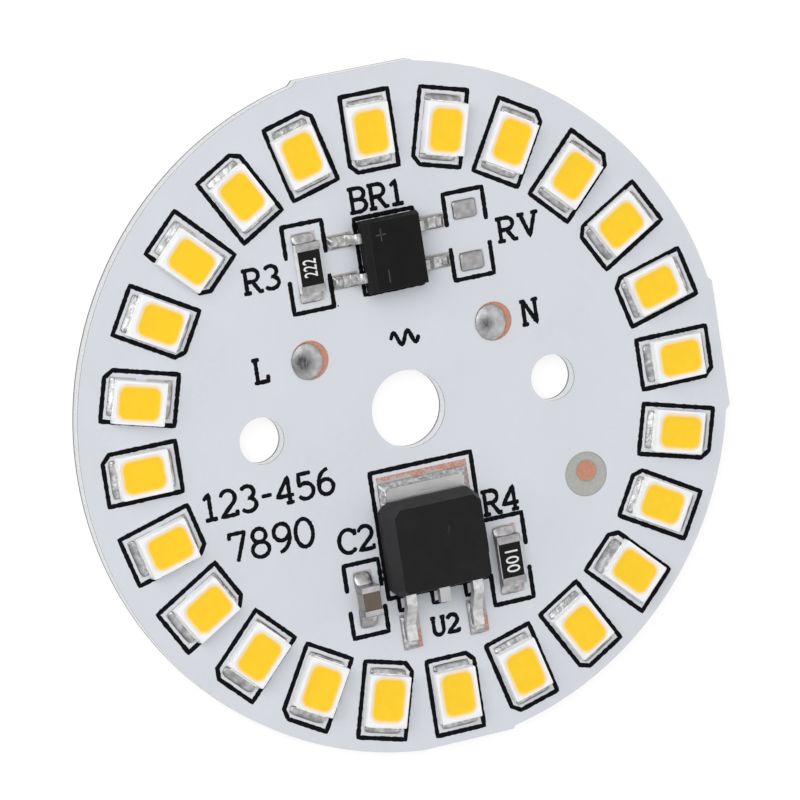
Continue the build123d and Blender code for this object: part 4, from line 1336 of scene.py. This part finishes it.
def mark_polarity():
    """A plus and a minus sunk in the rectifier's top."""
    low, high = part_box("rectifier_body")
    middle = (low + high) / 2
    sunk = 0.035 * MM
    proud = 0.002 * MM
    bars = []
    for name, x, y, half_x, half_y in POLARITY_BARS:
        bar_low = (middle.x + (x - half_x) * MM, middle.y + (y - half_y) * MM, high.z - sunk)
        bar_high = (middle.x + (x + half_x) * MM, middle.y + (y + half_y) * MM, high.z + proud)
        bars.append(add_block(name, bar_low, bar_high))
    finish_piece(join("polarity_marks", bars), "faint_mark", "rectifier_moulding")


def trace_pin():
    """The faint trace that an ejector pin left on the driver's top."""
    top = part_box("driver_body")[1].z
    width = 0.06 * MM
    height = 0.004 * MM
    sunk = 0.0034 * MM
    path = in_metres(arc(0.42, -7.55, 0.22, 0.30, -80, 30, 6))
    trace = draw_line("pin_trace", path, width, False, random.Random(2), 0.1, 0.16)
    lay_flat(trace, Matrix.Identity(4), top - sunk, height, width)
    finish_piece(trace, "faint_mark", "driver_moulding")


class LEDBOARD_OT_codes(bpy.types.Operator):
    """Mark the chips with plain figures and the rectifier with its polarity"""

    bl_idname = "ledboard.codes"
    bl_label = "Codes"

    def execute(self, context):
        thickness = 0.006 * MM
        height = 1.04 * MM
        stretch = 1.22
        for name, node, words, turn, width in CHIP_CODES:
            low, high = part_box(node)
            middle = (low + high) / 2
            place = Matrix.Translation((middle.x, middle.y, high.z + thickness / 2))
            place = place @ Matrix.Rotation(math.radians(turn), 4, "Z")
            code = add_code(name, words, height, place @ Matrix.Diagonal((width, stretch, 1, 1)), thickness)
            finish_piece(code, "code", "resistor_coat")
        mark_polarity()
        trace_pin()
        return {"FINISHED"}


class LEDBOARD_OT_finishes(bpy.types.Operator):
    """Give every CAD node its finish and soften the edges of the mouldings"""

    bl_idname = "ledboard.finishes"
    bl_label = "Finishes"

    def execute(self, context):
        sizes = context.scene.led_board_sizes
        make_materials(context.scene.led_board_colours, sizes)
        dress_nodes()
        for name in ("driver_body", "rectifier_body"):
            # The rounded edges take the second material, painted lighter as a highlight
            frame["nodes"][name].data.materials.append(MATERIALS["moulding_edge"])
            soften_edges(name, sizes.moulding_edge).material = 1
        for name in ("driver_heat_tab", "driver_lead_left", "driver_lead_right"):
            soften_edges(name, 0.04 * MM, 2, 40)
        for name in ("plus", "minus", "neutral", "live"):
            soften_edges(f"rectifier_lead_{name}", 0.03 * MM, 2, 40)
        for name in CHIP_TERMINALS:
            soften_edges(name, 0.06 * MM, 2, 30)
        return {"FINISHED"}


# Stage

def add_lamp(name, place, size, power):
    light = bpy.data.lights.new(name, "AREA")
    light.shape = "SQUARE"
    light.size = size
    light.energy = power
    lamp = bpy.data.objects.new(name, light)
    bpy.context.collection.objects.link(lamp)
    lamp.location = place
    lamp.rotation_euler = (-Vector(place)).to_track_quat("-Z", "Y").to_euler()


def add_shader(tree, kind, level, strength=None):
    """A grey or white shader of one level."""
    shader = tree.nodes.new(kind)
    shader.inputs["Color"].default_value = (level, level, level, 1)
    if strength is not None:
        shader.inputs["Strength"].default_value = strength
    return shader


def white_to_view(tree, shaded, white, output):
    """Puts plain white in place of what the camera sees, straight or in metal and glass."""
    path = tree.nodes.new("ShaderNodeLightPath")
    seen = path.outputs["Is Camera Ray"]
    for name in ("Is Glossy Ray", "Is Transmission Ray"):
        largest = tree.nodes.new("ShaderNodeMath")
        largest.operation = "MAXIMUM"
        tree.links.new(seen, largest.inputs[0])
        tree.links.new(path.outputs[name], largest.inputs[1])
        seen = largest.outputs[0]
    mixed = tree.nodes.new("ShaderNodeMixShader")
    tree.links.new(seen, mixed.inputs[0])
    tree.links.new(shaded.outputs[0], mixed.inputs[1])
    tree.links.new(white.outputs[0], mixed.inputs[2])
    tree.links.new(mixed.outputs[0], output.inputs["Surface"])


def floor_material():
    """Pale floor: white to the camera, less the soft shadow of the board."""
    material = bpy.data.materials.new("stage_white")
    material.use_nodes = True
    tree = material.node_tree
    tree.nodes.clear()
    output = tree.nodes.new("ShaderNodeOutputMaterial")
    lit = tree.nodes.new("ShaderNodeAddShader")
    tree.links.new(add_shader(tree, "ShaderNodeBsdfDiffuse", 0.35).outputs[0], lit.inputs[0])
    tree.links.new(add_shader(tree, "ShaderNodeEmission", 1, 0.72).outputs[0], lit.inputs[1])
    white_to_view(tree, add_shader(tree, "ShaderNodeBsdfDiffuse", 0.82), lit, output)
    return material


def make_world(strength):
    world = bpy.data.worlds.new("studio")
    world.use_nodes = True
    tree = world.node_tree
    tree.nodes.clear()
    output = tree.nodes.new("ShaderNodeOutputWorld")
    sky = add_shader(tree, "ShaderNodeBackground", 1, strength)
    white_to_view(tree, sky, add_shader(tree, "ShaderNodeBackground", 1, 1.0), output)
    bpy.context.scene.world = world


def add_camera(settings):
    """The camera that the photograph was taken from, given by its place and two directions."""
    data = bpy.data.cameras.new("photo_camera")
    data.lens = settings.lens
    data.sensor_width = 36.0
    data.clip_start = 0.01
    camera = bpy.data.objects.new("photo_camera", data)
    bpy.context.scene.collection.objects.link(camera)
    right = Vector(settings.camera_right).normalized()
    back = right.cross(Vector(settings.camera_up)).normalized()
    turn = Matrix((right, back.cross(right), back)).transposed().to_4x4()
    camera.matrix_world = Matrix.Translation(settings.camera_place) @ turn
    bpy.context.scene.camera = camera


class LEDBOARD_OT_stage(bpy.types.Operator):
    """Set up the floor, the lights and the camera"""

    bl_idname = "ledboard.stage"
    bl_label = "Stage"

    def execute(self, context):
        settings = context.scene.led_board_stage
        bpy.ops.object.select_all(action="DESELECT")
        bpy.ops.mesh.primitive_plane_add(size=3.0, location=(0, 0, -0.02 * MM))
        floor = bpy.context.object
        floor.name = "stage_floor"
        floor.data.materials.append(floor_material())
        make_world(settings.sky)
        add_lamp("key_light", (-0.34, 0.30, 0.52), 0.70, settings.key_power)
        add_lamp("fill_light", (0.42, -0.16, 0.46), 0.70, settings.fill_power)
        add_lamp("side_light", (-0.48, 0.26, 0.15), 0.50, settings.side_power)
        add_camera(settings)
        context.scene.view_settings.view_transform = "Standard"
        return {"FINISHED"}


class LEDBOARD_PT_sidebar(bpy.types.Panel):
    """Lists the pieces of the LED board"""

    bl_idname = "LEDBOARD_PT_sidebar"
    bl_label = "LED board"
    bl_space_type = "VIEW_3D"
    bl_region_type = "UI"
    bl_category = "LED board"

    def draw(self, context):
        layout = self.layout
        for operator in OPERATORS:
            layout.operator(operator.bl_idname)
        for group in ("led_board_sizes", "led_board_colours", "led_board_stage"):
            settings = getattr(context.scene, group)
            column = layout.column()
            for name in settings.__annotations__:
                column.prop(settings, name)


OPERATORS = (
    LEDBOARD_OT_finishes, LEDBOARD_OT_led_housings, LEDBOARD_OT_led_resin, LEDBOARD_OT_led_fillets,
    LEDBOARD_OT_reflowed_solder, LEDBOARD_OT_chip_joints, LEDBOARD_OT_varistor_tin, LEDBOARD_OT_mains_domes,
    LEDBOARD_OT_printed_outlines, LEDBOARD_OT_lettering, LEDBOARD_OT_codes, LEDBOARD_OT_stage,
)
GROUPS = {
    "led_board_sizes": LEDBOARD_PG_sizes,
    "led_board_colours": LEDBOARD_PG_colours,
    "led_board_stage": LEDBOARD_PG_stage,
}


def register():
    for group in GROUPS.values():
        bpy.utils.register_class(group)
    for name, group in GROUPS.items():
        setattr(bpy.types.Scene, name, PointerProperty(type=group))
    for operator in OPERATORS:
        bpy.utils.register_class(operator)
    bpy.utils.register_class(LEDBOARD_PT_sidebar)


def unregister():
    bpy.utils.unregister_class(LEDBOARD_PT_sidebar)
    for operator in reversed(OPERATORS):
        bpy.utils.unregister_class(operator)
    for name in GROUPS:
        delattr(bpy.types.Scene, name)
    for group in reversed(list(GROUPS.values())):
        bpy.utils.unregister_class(group)


def main():
    register()
    bpy.ops.ledboard.finishes()
    bpy.ops.ledboard.led_housings()
    bpy.ops.ledboard.led_resin()
    bpy.ops.ledboard.led_fillets()
    bpy.ops.ledboard.reflowed_solder()
    bpy.ops.ledboard.chip_joints()
    bpy.ops.ledboard.varistor_tin()
    bpy.ops.ledboard.mains_domes()
    bpy.ops.ledboard.printed_outlines()
    bpy.ops.ledboard.lettering()
    bpy.ops.ledboard.codes()
    bpy.ops.ledboard.stage()
    bpy.context.view_layer.update()


if __name__ == "__main__":
    main()
